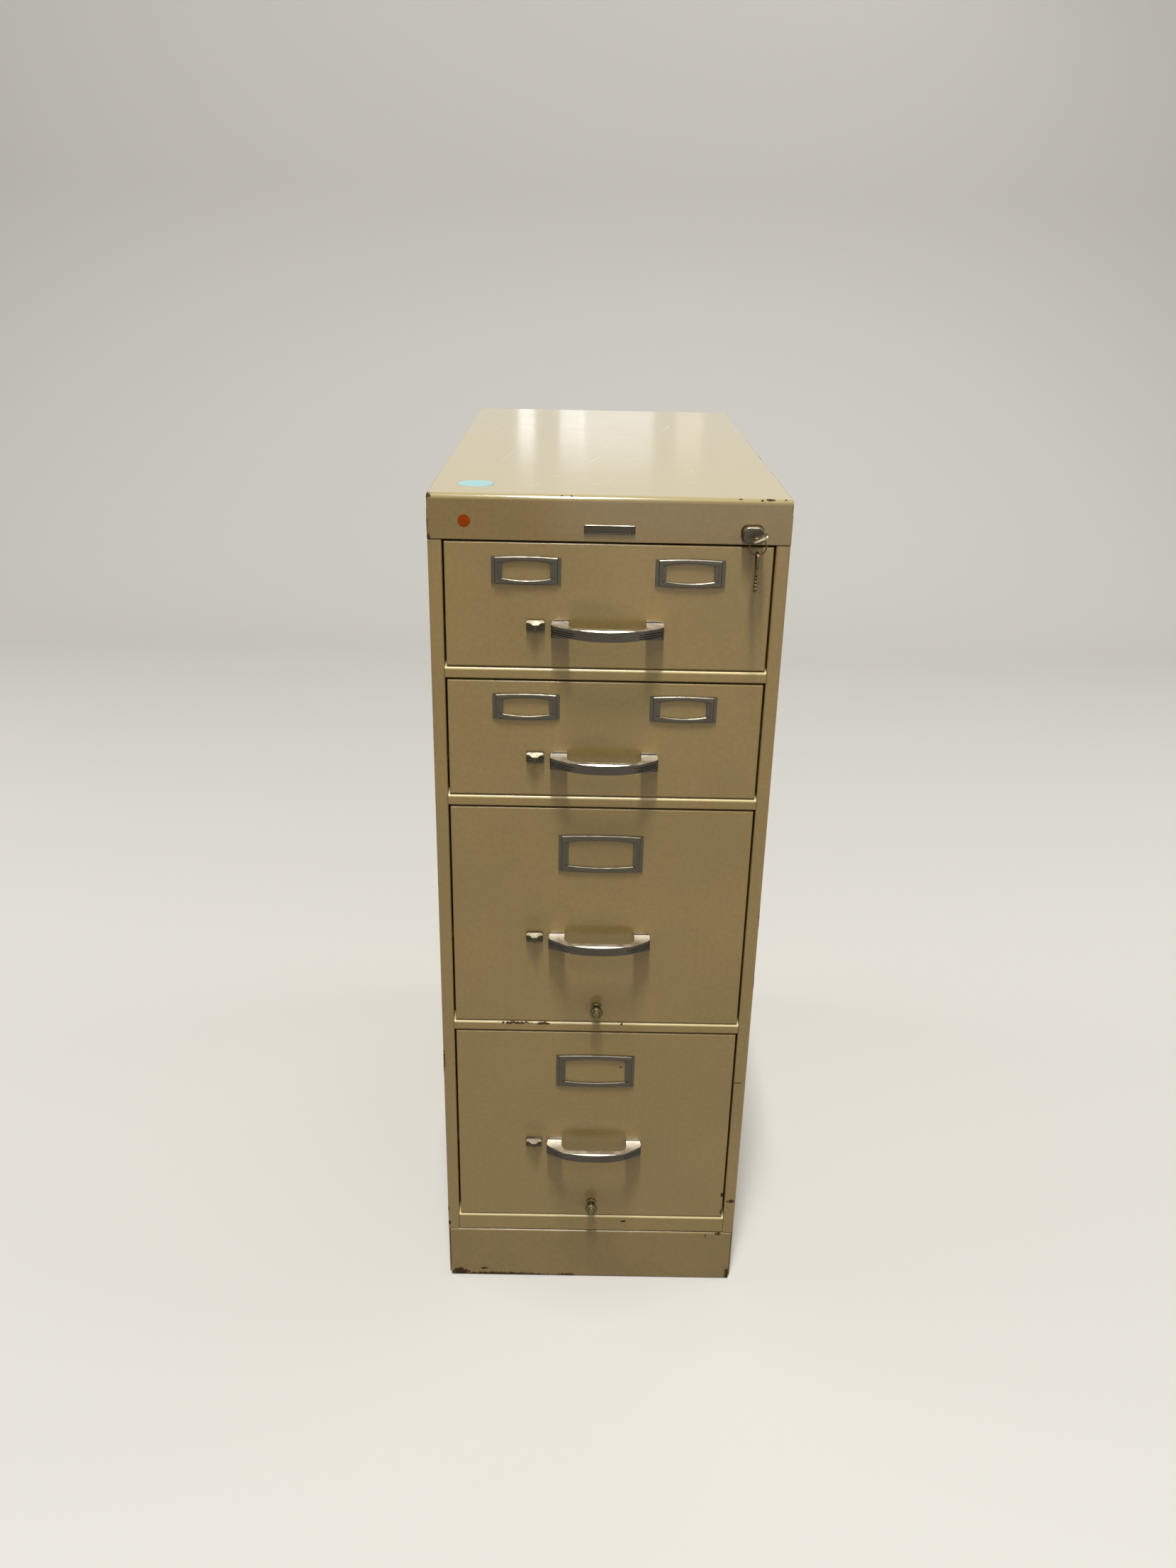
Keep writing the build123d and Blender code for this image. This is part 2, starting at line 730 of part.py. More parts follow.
def make_handle(drawer):
    """Cast pull: two rolled feet sweep forward into a bowed grip, with lines round each end."""
    half_span = handle_span / 2
    grip_half = half_span - handle_taper
    gap_half = half_span - handle_foot
    rise_half = (grip_half + gap_half) / 2
    top = drawer.bottom + handle_rise[drawer.kind] + handle_height / 2
    grip_top = top - handle_grip_drop
    grip_low = grip_top - handle_grip_height
    low = top - handle_foot_height
    grip_back = handle_reach - handle_grip_depth
    grip_end = handle_reach - handle_front_bow
    plan = Plane(origin=(handle_x, face_y, low), z_dir=(0, 0, 1))
    with BuildPart() as handle:
        # Plan view: rounded shoulders, sides that taper to the grip and a bowed front
        with BuildSketch(plan) as outline:
            with BuildLine():
                right_side = Line((half_span, 0), (half_span, -handle_shoulder_depth))
                right_taper = Line(right_side @ 1, (grip_half, -grip_end))
                front_bow = ThreePointArc(right_taper @ 1, (0, -handle_reach), (-grip_half, -grip_end))
                left_taper = Line(front_bow @ 1, (-half_span, -handle_shoulder_depth))
                left_side = Line(left_taper @ 1, (-half_span, 0))
                Line(left_side @ 1, right_side @ 0)
            make_face()
            corners = outline.vertices().sort_by(Axis.Y)
            fillet(corners[0:2], radius=2 * handle_shoulder_radius)
            shoulders = outline.vertices().filter_by_position(
                Axis.Y, -handle_shoulder_depth - 0.1, -handle_shoulder_depth + 0.1
            )
            fillet(shoulders, radius=handle_shoulder_radius)
        extrude(amount=top - low)
        # Finger gap behind the grip
        with BuildSketch(plan):
            with BuildLine():
                FilletPolyline(
                    (gap_half, 1),
                    (gap_half, -grip_back),
                    (-gap_half, -grip_back),
                    (-gap_half, 1),
                    radius=handle_grip_depth + handle_front_bow,
                )
                Line((-gap_half, 1), (gap_half, 1))
            make_face()
        extrude(amount=top - low, mode=Mode.SUBTRACT)
        # Side view: lip at the wall, scooped arm, rounded nose and upright grip
        side = Plane(origin=(handle_x - half_span, face_y, 0), x_dir=(0, 1, 0), z_dir=(1, 0, 0))
        with BuildSketch(side):
            with BuildLine():
                wall = Line((0, low), (0, top))
                lip = Line(wall @ 1, (-handle_lip, top))
                lip_front = Line(lip @ 1, (-handle_lip, top - handle_lip_height))
                scoop = ThreePointArc(
                    lip_front @ 1,
                    (-(handle_lip + grip_back) / 2, grip_top + 0.35 * handle_lip_height),
                    (-grip_back, grip_top),
                )
                grip_flat = Line(scoop @ 1, (-handle_reach + 2 * handle_edge_radius, grip_top))
                nose = Line(grip_flat @ 1, (-handle_reach, grip_top - 2 * handle_edge_radius))
                grip_face = Line(nose @ 1, (-handle_reach + handle_edge_radius, low))
                Line(grip_face @ 1, wall @ 0)
            make_face()
        extrude(amount=handle_span, mode=Mode.INTERSECT)
        # Front view: rounded top corners, and a lower edge that bows down under the grip
        elevation = Plane(origin=(handle_x, face_y, 0), x_dir=(1, 0, 0), z_dir=(0, -1, 0))
        with BuildSketch(elevation) as face:
            with BuildLine():
                left_rise = Line((-half_span, low), (-rise_half, grip_low))
                lower = ThreePointArc(left_rise @ 1, (0, grip_low - handle_bow), (rise_half, grip_low))
                right_rise = Line(lower @ 1, (half_span, low))
                right_edge = Line(right_rise @ 1, (half_span, top))
                upper = Line(right_edge @ 1, (-half_span, top))
                Line(upper @ 1, left_rise @ 0)
            make_face()
            fillet(face.vertices().group_by(Axis.Y)[-1], radius=handle_top_radius)
        extrude(amount=handle_reach, mode=Mode.INTERSECT)
        # Lines cut round the shoulders
        for step in range(speed_lines):
            line_z = top - speed_line_drop - step * speed_line_pitch
            with BuildSketch(Plane(origin=(handle_x, face_y, line_z), z_dir=(0, 0, 1))):
                for hand in (-1, 1):
                    with Locations((hand * (half_span - speed_line_run / 2), -handle_reach / 2)):
                        Rectangle(speed_line_run, handle_reach)
                core = offset(outline.sketch.faces(), amount=-speed_line_depth, mode=Mode.PRIVATE)
                add(core, mode=Mode.SUBTRACT)
            extrude(amount=-speed_line_height, mode=Mode.SUBTRACT)
    save(handle, f"handle_{drawer.number}")


def bowed_outline(half_width, half_height, bulge):
    """Closed outline whose top and bottom edges bow out by the bulge."""
    low = half_height - bulge
    with BuildLine() as outline:
        top = ThreePointArc((-half_width, low), (0, half_height), (half_width, low))
        right = Line(top @ 1, (half_width, -low))
        bottom = ThreePointArc(right @ 1, (0, -half_height), (-half_width, -low))
        Line(bottom @ 1, top @ 0)
    return outline.line.edges()


def make_label_holder(drawer, places, name):
    """Pressed frame: stepped ends, a raised bowed frame, sunk side panels and a card slot."""
    width, height = label_size[drawer.kind]
    middle_z = drawer.bottom + drawer.opening - label_drop[drawer.kind]
    window_half = width / 2 - label_side_bar
    window_top = height / 2 - label_bar[drawer.kind]
    panel_top = window_top - label_window_bulge
    face = face_y - label_thickness
    with BuildPart() as holder:
        for x in places:
            plane = Plane(origin=(x, face_y, middle_z), x_dir=(1, 0, 0), z_dir=(0, -1, 0))
            with BuildSketch(plane):
                make_face(bowed_outline(width / 2, height / 2, label_bulge))
                make_face(bowed_outline(window_half, window_top, label_window_bulge), mode=Mode.SUBTRACT)
            extrude(amount=label_step_thickness)
            with BuildSketch(plane):
                make_face(bowed_outline(width / 2 - label_step, height / 2 - label_ledge, label_bulge))
                make_face(bowed_outline(window_half, window_top, label_window_bulge), mode=Mode.SUBTRACT)
            extrude(amount=label_thickness)
        frames = holder.faces().sort_by(Axis.Y)[0 : len(places)]
        chamfer(frames.edges(), length=label_bevel)
        for x in places:
            for hand in (-1, 1):
                near_x, far_x = span(hand, window_half - label_bevel, window_half + label_panel_width)
                cut_block(
                    (x + near_x, face - 1, middle_z - panel_top),
                    (x + far_x, face + label_panel_depth, middle_z + panel_top),
                )
                dimple_x = window_half + label_panel_width / 2
                near_x, far_x = span(hand, dimple_x - label_dimple / 2, dimple_x + label_dimple / 2)
                for dimple_z in (middle_z - panel_top, middle_z + panel_top):
                    cut_block(
                        (x + near_x, face - 1, dimple_z - label_dimple / 2),
                        (x + far_x, face + label_dimple_depth, dimple_z + label_dimple / 2),
                    )
            # Card slot behind the frame, open at the top
            cut_block(
                (x - window_half - label_slot_lap, face_y - label_card_slot, middle_z - window_top),
                (x + window_half + label_slot_lap, face_y, middle_z + height),
            )
    save(holder, name)


def make_thumb_latch(drawer):
    """Cast thumb piece: a raised Y between two grooved scoops that lean back, on its bolt."""
    z = drawer.bottom + latch_rise[drawer.kind]
    half = latch_width / 2
    tall = latch_height / 2
    brow = latch_reach - latch_scoop_depth
    base_y = face_y - latch_sheet_gap
    bolt_y = liner_y - bolt_set_back
    bolt_tip = -(opening_half - front_gap_side)
    face = Plane(origin=(latch_x, base_y, z), x_dir=(1, 0, 0), z_dir=(0, -1, 0))
    side = Plane(origin=(latch_x - half, base_y, z), x_dir=(0, 1, 0), z_dir=(1, 0, 0))
    with BuildPart() as latch:
        with BuildSketch(face):
            RectangleRounded(latch_width, latch_height, latch_corner)
        extrude(amount=latch_reach)
        # Side view of the scoops: a thick brow that leans back to a thin foot
        with BuildSketch(side):
            with BuildLine():
                Polyline(
                    (0, -tall),
                    (0, tall),
                    (-brow + latch_brow_chamfer, tall),
                    (-brow, tall - latch_brow_chamfer),
                    (-latch_foot, -tall),
                    (0, -tall),
                )
            make_face()
        extrude(amount=latch_width, mode=Mode.INTERSECT)
        # The raised Y: full width along the top, drawn in to a rib by two arcs
        with BuildSketch(face):
            with BuildLine():
                top_edge = Line((-half + latch_corner, tall), (half - latch_corner, tall))
                right_corner = Line(top_edge @ 1, (half, tall - latch_corner))
                right_arc = ThreePointArc(
                    right_corner @ 1, (0.4 * half, 0.45 * tall), (latch_rib_half, -0.1 * tall)
                )
                right_rib = Line(right_arc @ 1, (latch_rib_half, -tall))
                rib_foot = Line(right_rib @ 1, (-latch_rib_half, -tall))
                left_rib = Line(rib_foot @ 1, (-latch_rib_half, -0.1 * tall))
                left_arc = ThreePointArc(
                    left_rib @ 1, (-0.4 * half, 0.45 * tall), (-half, tall - latch_corner)
                )
                Line(left_arc @ 1, top_edge @ 0)
            make_face()
        extrude(amount=latch_reach)
        # The Y leans back with the scoops, and its upper edge is bevelled
        with BuildSketch(side):
            with BuildLine():
                Polyline(
                    (-latch_reach - 1, tall + 1),
                    (-latch_reach + latch_nose_drop, tall + 1),
                    (-latch_reach + latch_nose_drop, tall),
                    (-latch_reach, tall - latch_nose_drop),
                    (-latch_foot - latch_scoop_depth, -tall),
                    (-latch_foot - latch_scoop_depth, -tall - 1),
                    (-latch_reach - 1, -tall - 1),
                    (-latch_reach - 1, tall + 1),
                )
            make_face()
        extrude(amount=latch_width, mode=Mode.SUBTRACT)
        # Thumb grooves in the scoops
        lean = (brow - latch_foot) / (latch_height - latch_brow_chamfer)
        for hand in (-1, 1):
            near_x, far_x = span(hand, 2 * latch_rib_half, half)
            for step in (-1, 0, 1):
                groove_z = z - latch_groove_height + latch_groove_pitch * step
                surface_y = base_y - latch_foot - lean * (groove_z - z + tall)
                cut_block(
                    (latch_x + near_x, surface_y - latch_groove_depth, groove_z - latch_groove_height / 2),
                    (latch_x + far_x, surface_y + latch_groove_depth, groove_z + latch_groove_height / 2),
                )
        # Shank through the slot, and the bolt that runs to the left edge
        block(
            (latch_x - bolt_thickness / 2, base_y, z - bolt_height / 2),
            (latch_x + bolt_thickness / 2, bolt_y, z + bolt_height / 2),
        )
        block(
            (bolt_tip, bolt_y, z - bolt_height / 2),
            (latch_x + bolt_thickness / 2, bolt_y + bolt_thickness, z + bolt_height / 2),
        )
    save(latch, f"thumb_latch_{drawer.number}")


def make_guide_rod(drawer):
    """Rod through the bottom of the drawer with a mushroom knob outside the front."""
    z = drawer.bottom + rod_rise
    tip_y = body_back_y - drawer_sheet - floor_gap
    collar_y = face_y - floor_gap
    crown_y = collar_y - knob_reach + knob_crown_drop
    dish_y = collar_y - knob_reach + knob_dish_depth
    with BuildPart() as guide_rod:
        with BuildSketch(Plane.YZ.offset(rod_x)):
            with BuildLine():
                Polyline(
                    (tip_y, z),
                    (tip_y, z + rod_radius - rod_tip_bevel),
                    (tip_y - rod_tip_bevel, z + rod_radius),
                    (collar_y, z + rod_radius),
                    (collar_y, z + knob_collar_radius),
                    (collar_y - knob_collar_length, z + knob_collar_radius),
                    (collar_y - knob_neck_start, z + knob_neck_radius),
                    (collar_y - knob_waist_length, z + knob_waist_radius),
                    (collar_y - knob_head_start, z + knob_radius),
                )
                ThreePointArc(
                    (collar_y - knob_head_start, z + knob_radius),
                    (collar_y - knob_crown_start, z + knob_radius - knob_crown_drop),
                    (crown_y, z + knob_dish_radius),
                )
                Polyline(
                    (crown_y, z + knob_dish_radius),
                    (crown_y + knob_dish_rim, z + knob_dish_radius - knob_dish_rim),
                    (dish_y, z + knob_dish_radius - 2 * knob_dish_rim),
                    (dish_y, z),
                    (tip_y, z),
                )
            make_face()
        revolve(axis=Axis((rod_x, 0, z), (0, 1, 0)))
    save(guide_rod, f"guide_rod_{drawer.number}")


def make_follower(drawer, row, name):
    """Upright plate on a folded foot, held to the drawer floor by tabs in its slots."""
    middle, row_width, slot_distance = row
    half = row_width / 2 - follower_side_gap
    floor = drawer.floor + drawer_sheet + floor_gap
    height = body_height[drawer.kind] - follower_head_gap
    points = [
        (follower_y + follower_base, floor),
        (follower_y, floor),
        (follower_y - follower_lean, floor + height),
        (follower_y - follower_lean + follower_lip, floor + height),
    ]
    with BuildPart() as follower:
        section = folded_section(Plane.YZ.offset(middle), points, follower_bend, follower_sheet, Side.RIGHT)
        extrude(section, amount=half, both=True)
        tab_half = follower_slot_width / 2 - follower_tab_clearance
        tab_front = follower_y + follower_tab_start
        tab_back = tab_front + follower_tab_length
        head_half = tab_half + follower_tab_lap
        head_top = drawer.floor - follower_tab_clearance
        for x in {middle - slot_distance, middle + slot_distance}:
            block(
                (x - tab_half, tab_front, head_top),
                (x + tab_half, tab_back, floor),
            )
            block(
                (x - head_half, tab_front, head_top - follower_sheet),
                (x + head_half, tab_back, head_top),
            )
        if drawer.kind == "file":
            # Notch that straddles the guide rod
            notch_top = drawer.bottom + rod_rise + follower_notch
            cut_block(
                (rod_x - follower_notch, follower_y - follower_lean, floor - follower_sheet),
                (rod_x + follower_notch, follower_y + 2 * follower_base, notch_top),
            )
    save(follower, name)


# Push lock, key and ring


def make_lock_housing():
    """Cast sleeve behind the header that guides the plunger."""
    outer_width = plunger_width + 2 * (lock_clearance + housing_wall)
    bore_width = plunger_width + 2 * lock_clearance
    bore_height = plunger_height + 2 * lock_clearance
    outer_height = bore_height + housing_wall + housing_low_wall
    with BuildPart() as housing:
        with BuildSketch(facing(front + case_sheet)):
            with Locations((lock_x, lock_z + (housing_wall - housing_low_wall) / 2)):
                Rectangle(outer_width, outer_height)
            with Locations((lock_x, lock_z)):
                RectangleRounded(bore_width, bore_height, plunger_corner, mode=Mode.SUBTRACT)
        extrude(amount=-housing_length)
    save(housing, "lock_housing")


def make_lock_plunger():
    """Push plunger with the plug's bore and the cross pin that works the lock bar."""
    nose_y = front - plunger_proud
    with BuildPart() as plunger:
        with BuildSketch(facing(nose_y)):
            with Locations((lock_x, lock_z)):
                RectangleRounded(plunger_width, plunger_height, plunger_corner)
        extrude(amount=-plunger_length)
        fillet(plunger.faces().sort_by(Axis.Y)[0].edges(), radius=plunger_nose_radius)
        with BuildSketch(facing(nose_y)):
            with Locations((plug_x, lock_z)):
                Circle(plug_radius + plug_clearance)
        extrude(amount=-plug_length - plug_end_gap, mode=Mode.SUBTRACT)
        with BuildSketch(Plane.YZ.offset(lock_x + plunger_width / 2 - cam_pin_seat)):
            with Locations((cam_pin_y, lock_z)):
                Circle(cam_pin_radius)
        extrude(amount=cam_pin_length)
    save(plunger, "lock_plunger")


def key_plane():
    """Plane of the key's bow: it holds the plug's axis and leans by the key's turn."""
    return Plane(
        origin=(plug_x, front - plunger_proud - plug_proud, lock_z),
        x_dir=(0, -1, 0),
        z_dir=Vector(0, 0, 1).rotate(Axis.Y, -key_turn),
    )


def make_lock_plug():
    """Turning plug with the keyway cut through its face."""
    nose_y = front - plunger_proud
    keyway_depth = key_blade_length + plug_end_gap
    with BuildPart() as plug:
        with BuildSketch(facing(nose_y - plug_proud)):
            with Locations((plug_x, lock_z)):
                Circle(plug_radius)
        extrude(amount=-plug_length)
        with BuildSketch(key_plane()):
            with Locations((-keyway_depth / 2, 0)):
                Rectangle(keyway_depth, key_blade_width + 4 * keyway_clearance)
        extrude(amount=key_thickness / 2 + keyway_clearance, both=True, mode=Mode.SUBTRACT)
    save(plug, "lock_plug")


def make_key(plane, name):
    """Flat key: slotted bow, shoulder and a blade with cuts along one edge."""
    with BuildPart() as key:
        with BuildSketch(plane):
            with Locations((key_bow_start + key_bow / 2, 0)):
                RectangleRounded(key_bow, key_bow, key_bow_corner)
            with Locations((key_bow_start, 0)):
                Rectangle(2 * key_bow_start - 1, key_shoulder)
            with Locations((-(key_blade_length - key_bow_start) / 2, 0)):
                Rectangle(key_blade_length + key_bow_start, key_blade_width)
            for cut in range(key_cuts):
                with Locations((-key_cut_start - key_cut_pitch * cut, key_blade_width / 2 + key_cut_rise)):
                    Rectangle(key_cut, key_cut, rotation=45, mode=Mode.SUBTRACT)
            with Locations((-key_blade_length, key_blade_width / 2 + key_cut_rise)):
                Rectangle(2 * key_cut, 2 * key_cut, rotation=45, mode=Mode.SUBTRACT)
            with Locations((key_hole_x, 0)):
                SlotCenterToCenter(
                    2 * key_hole_half_slot, 2 * key_hole_radius, rotation=90, mode=Mode.SUBTRACT
                )
        extrude(amount=key_thickness / 2, both=True)
    save(key, name)


def ring_centre():
    """Middle of the key ring: it crosses the bow's plane in the hole and beside the bow."""
    plane = key_plane()
    reach = ring_wire_thickness / 2 + key_thickness / 2
    inside = key_hole_half_slot + key_hole_radius - ring_clearance - 2 * reach
    outside = -key_bow / 2 - ring_clearance - 2 * reach * 0.75
    half_chord = (inside - outside) / 2
    drop = (ring_radius**2 - half_chord**2) ** 0.5
    middle = plane.from_local_coords((key_hole_x, (inside + outside) / 2, -drop))
    return Vector(middle)


def make_key_ring():
    """Split ring of flat wire that passes through the hole in the key's bow."""
    centre = ring_centre()
    with BuildPart() as ring:
        with BuildSketch(Plane.YZ.offset(centre.X)) as wire:
            with Locations((centre.Y, centre.Z + ring_radius)):
                Rectangle(ring_wire_width, ring_wire_thickness)
            chamfer(wire.vertices(), length=ring_wire_bevel)
        revolve(axis=Axis((centre.X, centre.Y, centre.Z), (0, 1, 0)))
    save(ring, "key_ring")


def make_spare_key():
    """Second key, hanging from the bottom of the ring and seen on edge."""
    centre = ring_centre()
    wire_top = centre.Z - ring_radius + ring_wire_thickness / 2
    plane = Plane(
        origin=(centre.X, centre.Y, wire_top + ring_clearance - key_hole_x - key_hole_radius),
        x_dir=(0, 0, 1),
        z_dir=(1, 0, 0),
    )
    make_key(plane, "spare_key")


def make_lock_bar():
    """Upright bar: a sloped slot drops it as the plunger goes in, and its lugs hold the drawers."""
    strip_x = case_web + bar_gap / 2
    strip_high_x = strip_x + bar_thickness
    bar_back_y = slide_front_y - bar_gap
    bar_front_y = bar_back_y - bar_width
    plate_x = lock_x + plunger_width / 2 + bar_plate_gap
    top = lock_z + bar_head_rise
    low = bottom_4 + catch_rise - bar_tail
    with BuildPart() as lock_bar:
        block((strip_x, bar_front_y, low), (strip_high_x, bar_back_y, top + bar_thickness))
        block((plate_x, bar_front_y, top), (strip_high_x, bar_back_y, top + bar_thickness))
        block(
            (plate_x, cam_pin_y - bar_plate_margin, lock_z - bar_plate_drop),
            (plate_x + bar_thickness, cam_pin_y + plunger_travel + bar_plate_margin, top + bar_thickness),
        )
        with BuildSketch(Plane.YZ.offset(plate_x)):
            with Locations((cam_pin_y + plunger_travel / 2, lock_z + plunger_travel / 2)):
                SlotCenterToCenter(
                    plunger_travel * 2**0.5,
                    2 * (cam_pin_radius + cam_clearance),
                    rotation=45,
                )
        extrude(amount=bar_thickness, mode=Mode.SUBTRACT)
        for drawer in drawers:
            block(
                (drawer_half_width + catch_reach - lug_lap, bar_front_y + lug_set_back, drawer.lug_z),
                (strip_high_x, bar_front_y + bar_width / 2, drawer.lug_z + lug_height),
            )
    save(lock_bar, "lock_bar")


make_side_panel(-1, "side_panel_left")
make_side_panel(1, "side_panel_right")
make_top_cover()
make_back_panel()
make_base_pan()
make_kick_plate()
for upper, number in zip(drawers, (1, 2, 3)):
    make_rail(upper.bottom - rail_height, upper.bottom, f"cross_rail_{number}")
make_rail(plinth_height + seam, bottom_4, "base_rail")
make_uprights(slide_front_y, "front_uprights")
make_uprights(back - rear_upright_setback - upright_width, "rear_uprights")
make_case_channels(-1, "case_channels_left")
make_case_channels(1, "case_channels_right")
make_nameplate()

for drawer in drawers:
    make_drawer_front(drawer)
    make_drawer_body(drawer)
    make_drawer_runners(drawer)
    make_slides(drawer)
    make_handle(drawer)
    make_thumb_latch(drawer)
    rows = follower_rows(drawer)
    if drawer.kind == "card":
        make_label_holder(drawer, (-card_label_x, card_label_x), f"label_holders_{drawer.number}")
        make_follower(drawer, rows[0], f"follower_{drawer.number}_left")
        make_follower(drawer, rows[1], f"follower_{drawer.number}_right")
    else:
        make_label_holder(drawer, (0.0,), f"label_holder_{drawer.number}")
        make_follower(drawer, rows[0], f"follower_{drawer.number}")
        make_guide_rod(drawer)

make_lock_housing()
make_lock_plunger()
make_lock_plug()
make_key(key_plane(), "lock_key")
make_key_ring()
make_spare_key()
make_lock_bar()
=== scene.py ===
"""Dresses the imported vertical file: stoved enamel with its wear, plated trim, dots, light, camera.

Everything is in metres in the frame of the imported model: X to the right as seen from the front,
Y to the back, Z up, with the origin on the floor under the middle of the cabinet's whole box.
Sizes are millimetres where their names end in mm.
"""

import logging
import math
from collections.abc import Iterable
from dataclasses import dataclass, field
from enum import Enum

import bmesh
import bpy
from mathutils import Euler, Matrix, Vector


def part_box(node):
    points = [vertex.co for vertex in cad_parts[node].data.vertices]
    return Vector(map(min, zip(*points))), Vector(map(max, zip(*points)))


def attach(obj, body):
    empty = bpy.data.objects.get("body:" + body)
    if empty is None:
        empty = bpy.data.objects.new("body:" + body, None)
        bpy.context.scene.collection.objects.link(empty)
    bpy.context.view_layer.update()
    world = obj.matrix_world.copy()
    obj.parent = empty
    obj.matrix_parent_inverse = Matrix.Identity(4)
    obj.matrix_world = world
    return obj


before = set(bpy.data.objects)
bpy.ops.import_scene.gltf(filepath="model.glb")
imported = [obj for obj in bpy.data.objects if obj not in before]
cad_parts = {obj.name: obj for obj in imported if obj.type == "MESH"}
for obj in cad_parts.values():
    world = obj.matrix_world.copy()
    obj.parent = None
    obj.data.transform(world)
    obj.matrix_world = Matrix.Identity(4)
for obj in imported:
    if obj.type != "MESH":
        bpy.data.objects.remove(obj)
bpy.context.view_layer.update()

LOG = logging.getLogger("vertical_file")
MM = 0.001
FRONT_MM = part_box("top_cover")[0].y / MM
TOP_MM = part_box("top_cover")[1].z / MM
# How many rays a node sends out to find a bend or a crease.
PROBES = 4
# Sockets of a Mix node, which have the same names for numbers and for colours.
SHARE, NUMBER_A, NUMBER_B, COLOUR_A, COLOUR_B = 0, 2, 3, 6, 7
COLOUR_OUT = 2
# How far up a face looks, from minus one to one, where it counts as an upper face in full.
WELL_UP = 0.6

Socket = bpy.types.NodeSocket
Tree = bpy.types.NodeTree


class DrawerKind(Enum):
    """What a drawer holds, which sets its label holders, followers and rod."""

    CARD = "card"
    LETTER = "letter"


def linear(colour: str) -> tuple[float, float, float, float]:
    """Turn an sRGB hex value into the linear colour that a shader takes.

    Args:
        colour: A value such as "#a08a60".

    Returns:
        Red, green, blue and an alpha of one.
    """
    parts = [int(colour[i : i + 2], 16) / 255 for i in (1, 3, 5)]
    steps = [p / 12.92 if p <= 0.04045 else ((p + 0.055) / 1.055) ** 2.4 for p in parts]
    return (*steps, 1.0)


def add(
    tree: Tree, kind: str, inputs: dict[str | int, object] | None = None, **settings: object
) -> bpy.types.Node:
    """Add a node with its settings, values and links.

    Args:
        tree: The material's or the world's node tree.
        kind: The node's kind, such as "TexNoise".
        inputs: A value or an output socket for each input, by name or by number.
        settings: The node's own properties.

    Returns:
        The new node.
    """
    node = tree.nodes.new("ShaderNode" + kind)
    for name, value in settings.items():
        setattr(node, name, value)
    for key, value in (inputs or {}).items():
        if isinstance(value, Socket):
            tree.links.new(value, node.inputs[key])
        else:
            node.inputs[key].default_value = value
    return node


def new_material(name: str) -> tuple[bpy.types.Material, Tree, Socket]:
    """Start a material with the piece's own coordinates.

    Args:
        name: The material's name.

    Returns:
        The material, its tree and the socket of the coordinates in metres.
    """
    material = bpy.data.materials.new(name)
    material.use_nodes = True
    tree = material.node_tree
    tree.nodes.clear()
    return material, tree, add(tree, "TexCoord").outputs["Object"]


def close_material(tree: Tree, inputs: dict[str | int, object]) -> None:
    """Close a material with its shader, which takes a value or a socket for each of its inputs."""
    shader = add(tree, "BsdfPrincipled", inputs)
    add(tree, "OutputMaterial", {"Surface": shader.outputs["BSDF"]})


def per_metre(size_mm: float) -> float:
    """Scale of a pattern whose features are that many millimetres across."""
    return 1.0 / (size_mm * MM)


def facing_up(tree: Tree, begins: float) -> Socket:
    """Find the upper faces.

    Args:
        tree: The material's node tree.
        begins: How far up a face looks, from minus one to one, where it begins to count as one.

    Returns:
        Zero up to there, and one for faces that look well up.
    """
    upward = add(tree, "SeparateXYZ", {0: add(tree, "TexCoord").outputs["Normal"]}).outputs["Z"]
    span = {"Value": upward, "From Min": begins, "From Max": WELL_UP}
    return add(tree, "MapRange", span).outputs[0]


def seen_directly(tree: Tree) -> Socket:
    """Tell what the eye sees, also by way of a mirror or glass, from the light cast on a surface.

    Args:
        tree: The material's or the world's node tree.

    Returns:
        One for rays from the camera and for those that a mirror or glass sends on, else zero.
    """
    path = add(tree, "LightPath").outputs
    seen = path["Is Camera Ray"]
    for kind in ("Is Glossy Ray", "Is Transmission Ray"):
        seen = add(tree, "Math", {0: seen, 1: path[kind]}, operation="MAXIMUM").outputs[0]
    return seen


@dataclass(frozen=True)
class Pattern:
    """Noise of one feature size, with the values between its two marks stretched over a range."""

    size_mm: float
    detail: float
    low: float
    high: float
    roughness: float = 0.5

    def build(self, tree: Tree, place: Socket, least: float = 0.0, most: float = 1.0) -> Socket:
        """Add the pattern to a material.

        Args:
            tree: The material's node tree.
            place: The coordinates in metres.
            least: What comes out at the low mark and under it.
            most: What comes out at the high mark and over it.

        Returns:
            The pattern's value.
        """
        grain = {"Detail": self.detail, "Roughness": self.roughness}
        laid = {"Vector": place, "Scale": per_metre(self.size_mm)}
        noise = add(tree, "TexNoise", {**laid, **grain}).outputs["Fac"]
        marks = {"From Min": self.low, "From Max": self.high, "To Min": least, "To Max": most}
        return add(tree, "MapRange", {"Value": noise, **marks}).outputs[0]


@dataclass(frozen=True)
class Relief:
    """Fine unevenness of a face, over bends that look a little rounded where a radius is given."""

    size_mm: float
    height_mm: float
    detail: float
    bend_mm: float = 0.0

    def build(self, tree: Tree, place: Socket) -> Socket:
        """Add the relief to a material.

        Args:
            tree: The material's node tree.
            place: The coordinates in metres.

        Returns:
            The way that the uneven face looks.
        """
        grain = {"Vector": place, "Scale": per_metre(self.size_mm), "Detail": self.detail}
        height = add(tree, "TexNoise", grain).outputs["Fac"]
        bump = {"Strength": 1.0, "Distance": self.height_mm * MM, "Height": height}
        if self.bend_mm:
            rounded = add(tree, "Bevel", {"Radius": self.bend_mm * MM}, samples=PROBES)
            bump["Normal"] = rounded.outputs[0]
        return add(tree, "Bump", bump).outputs[0]


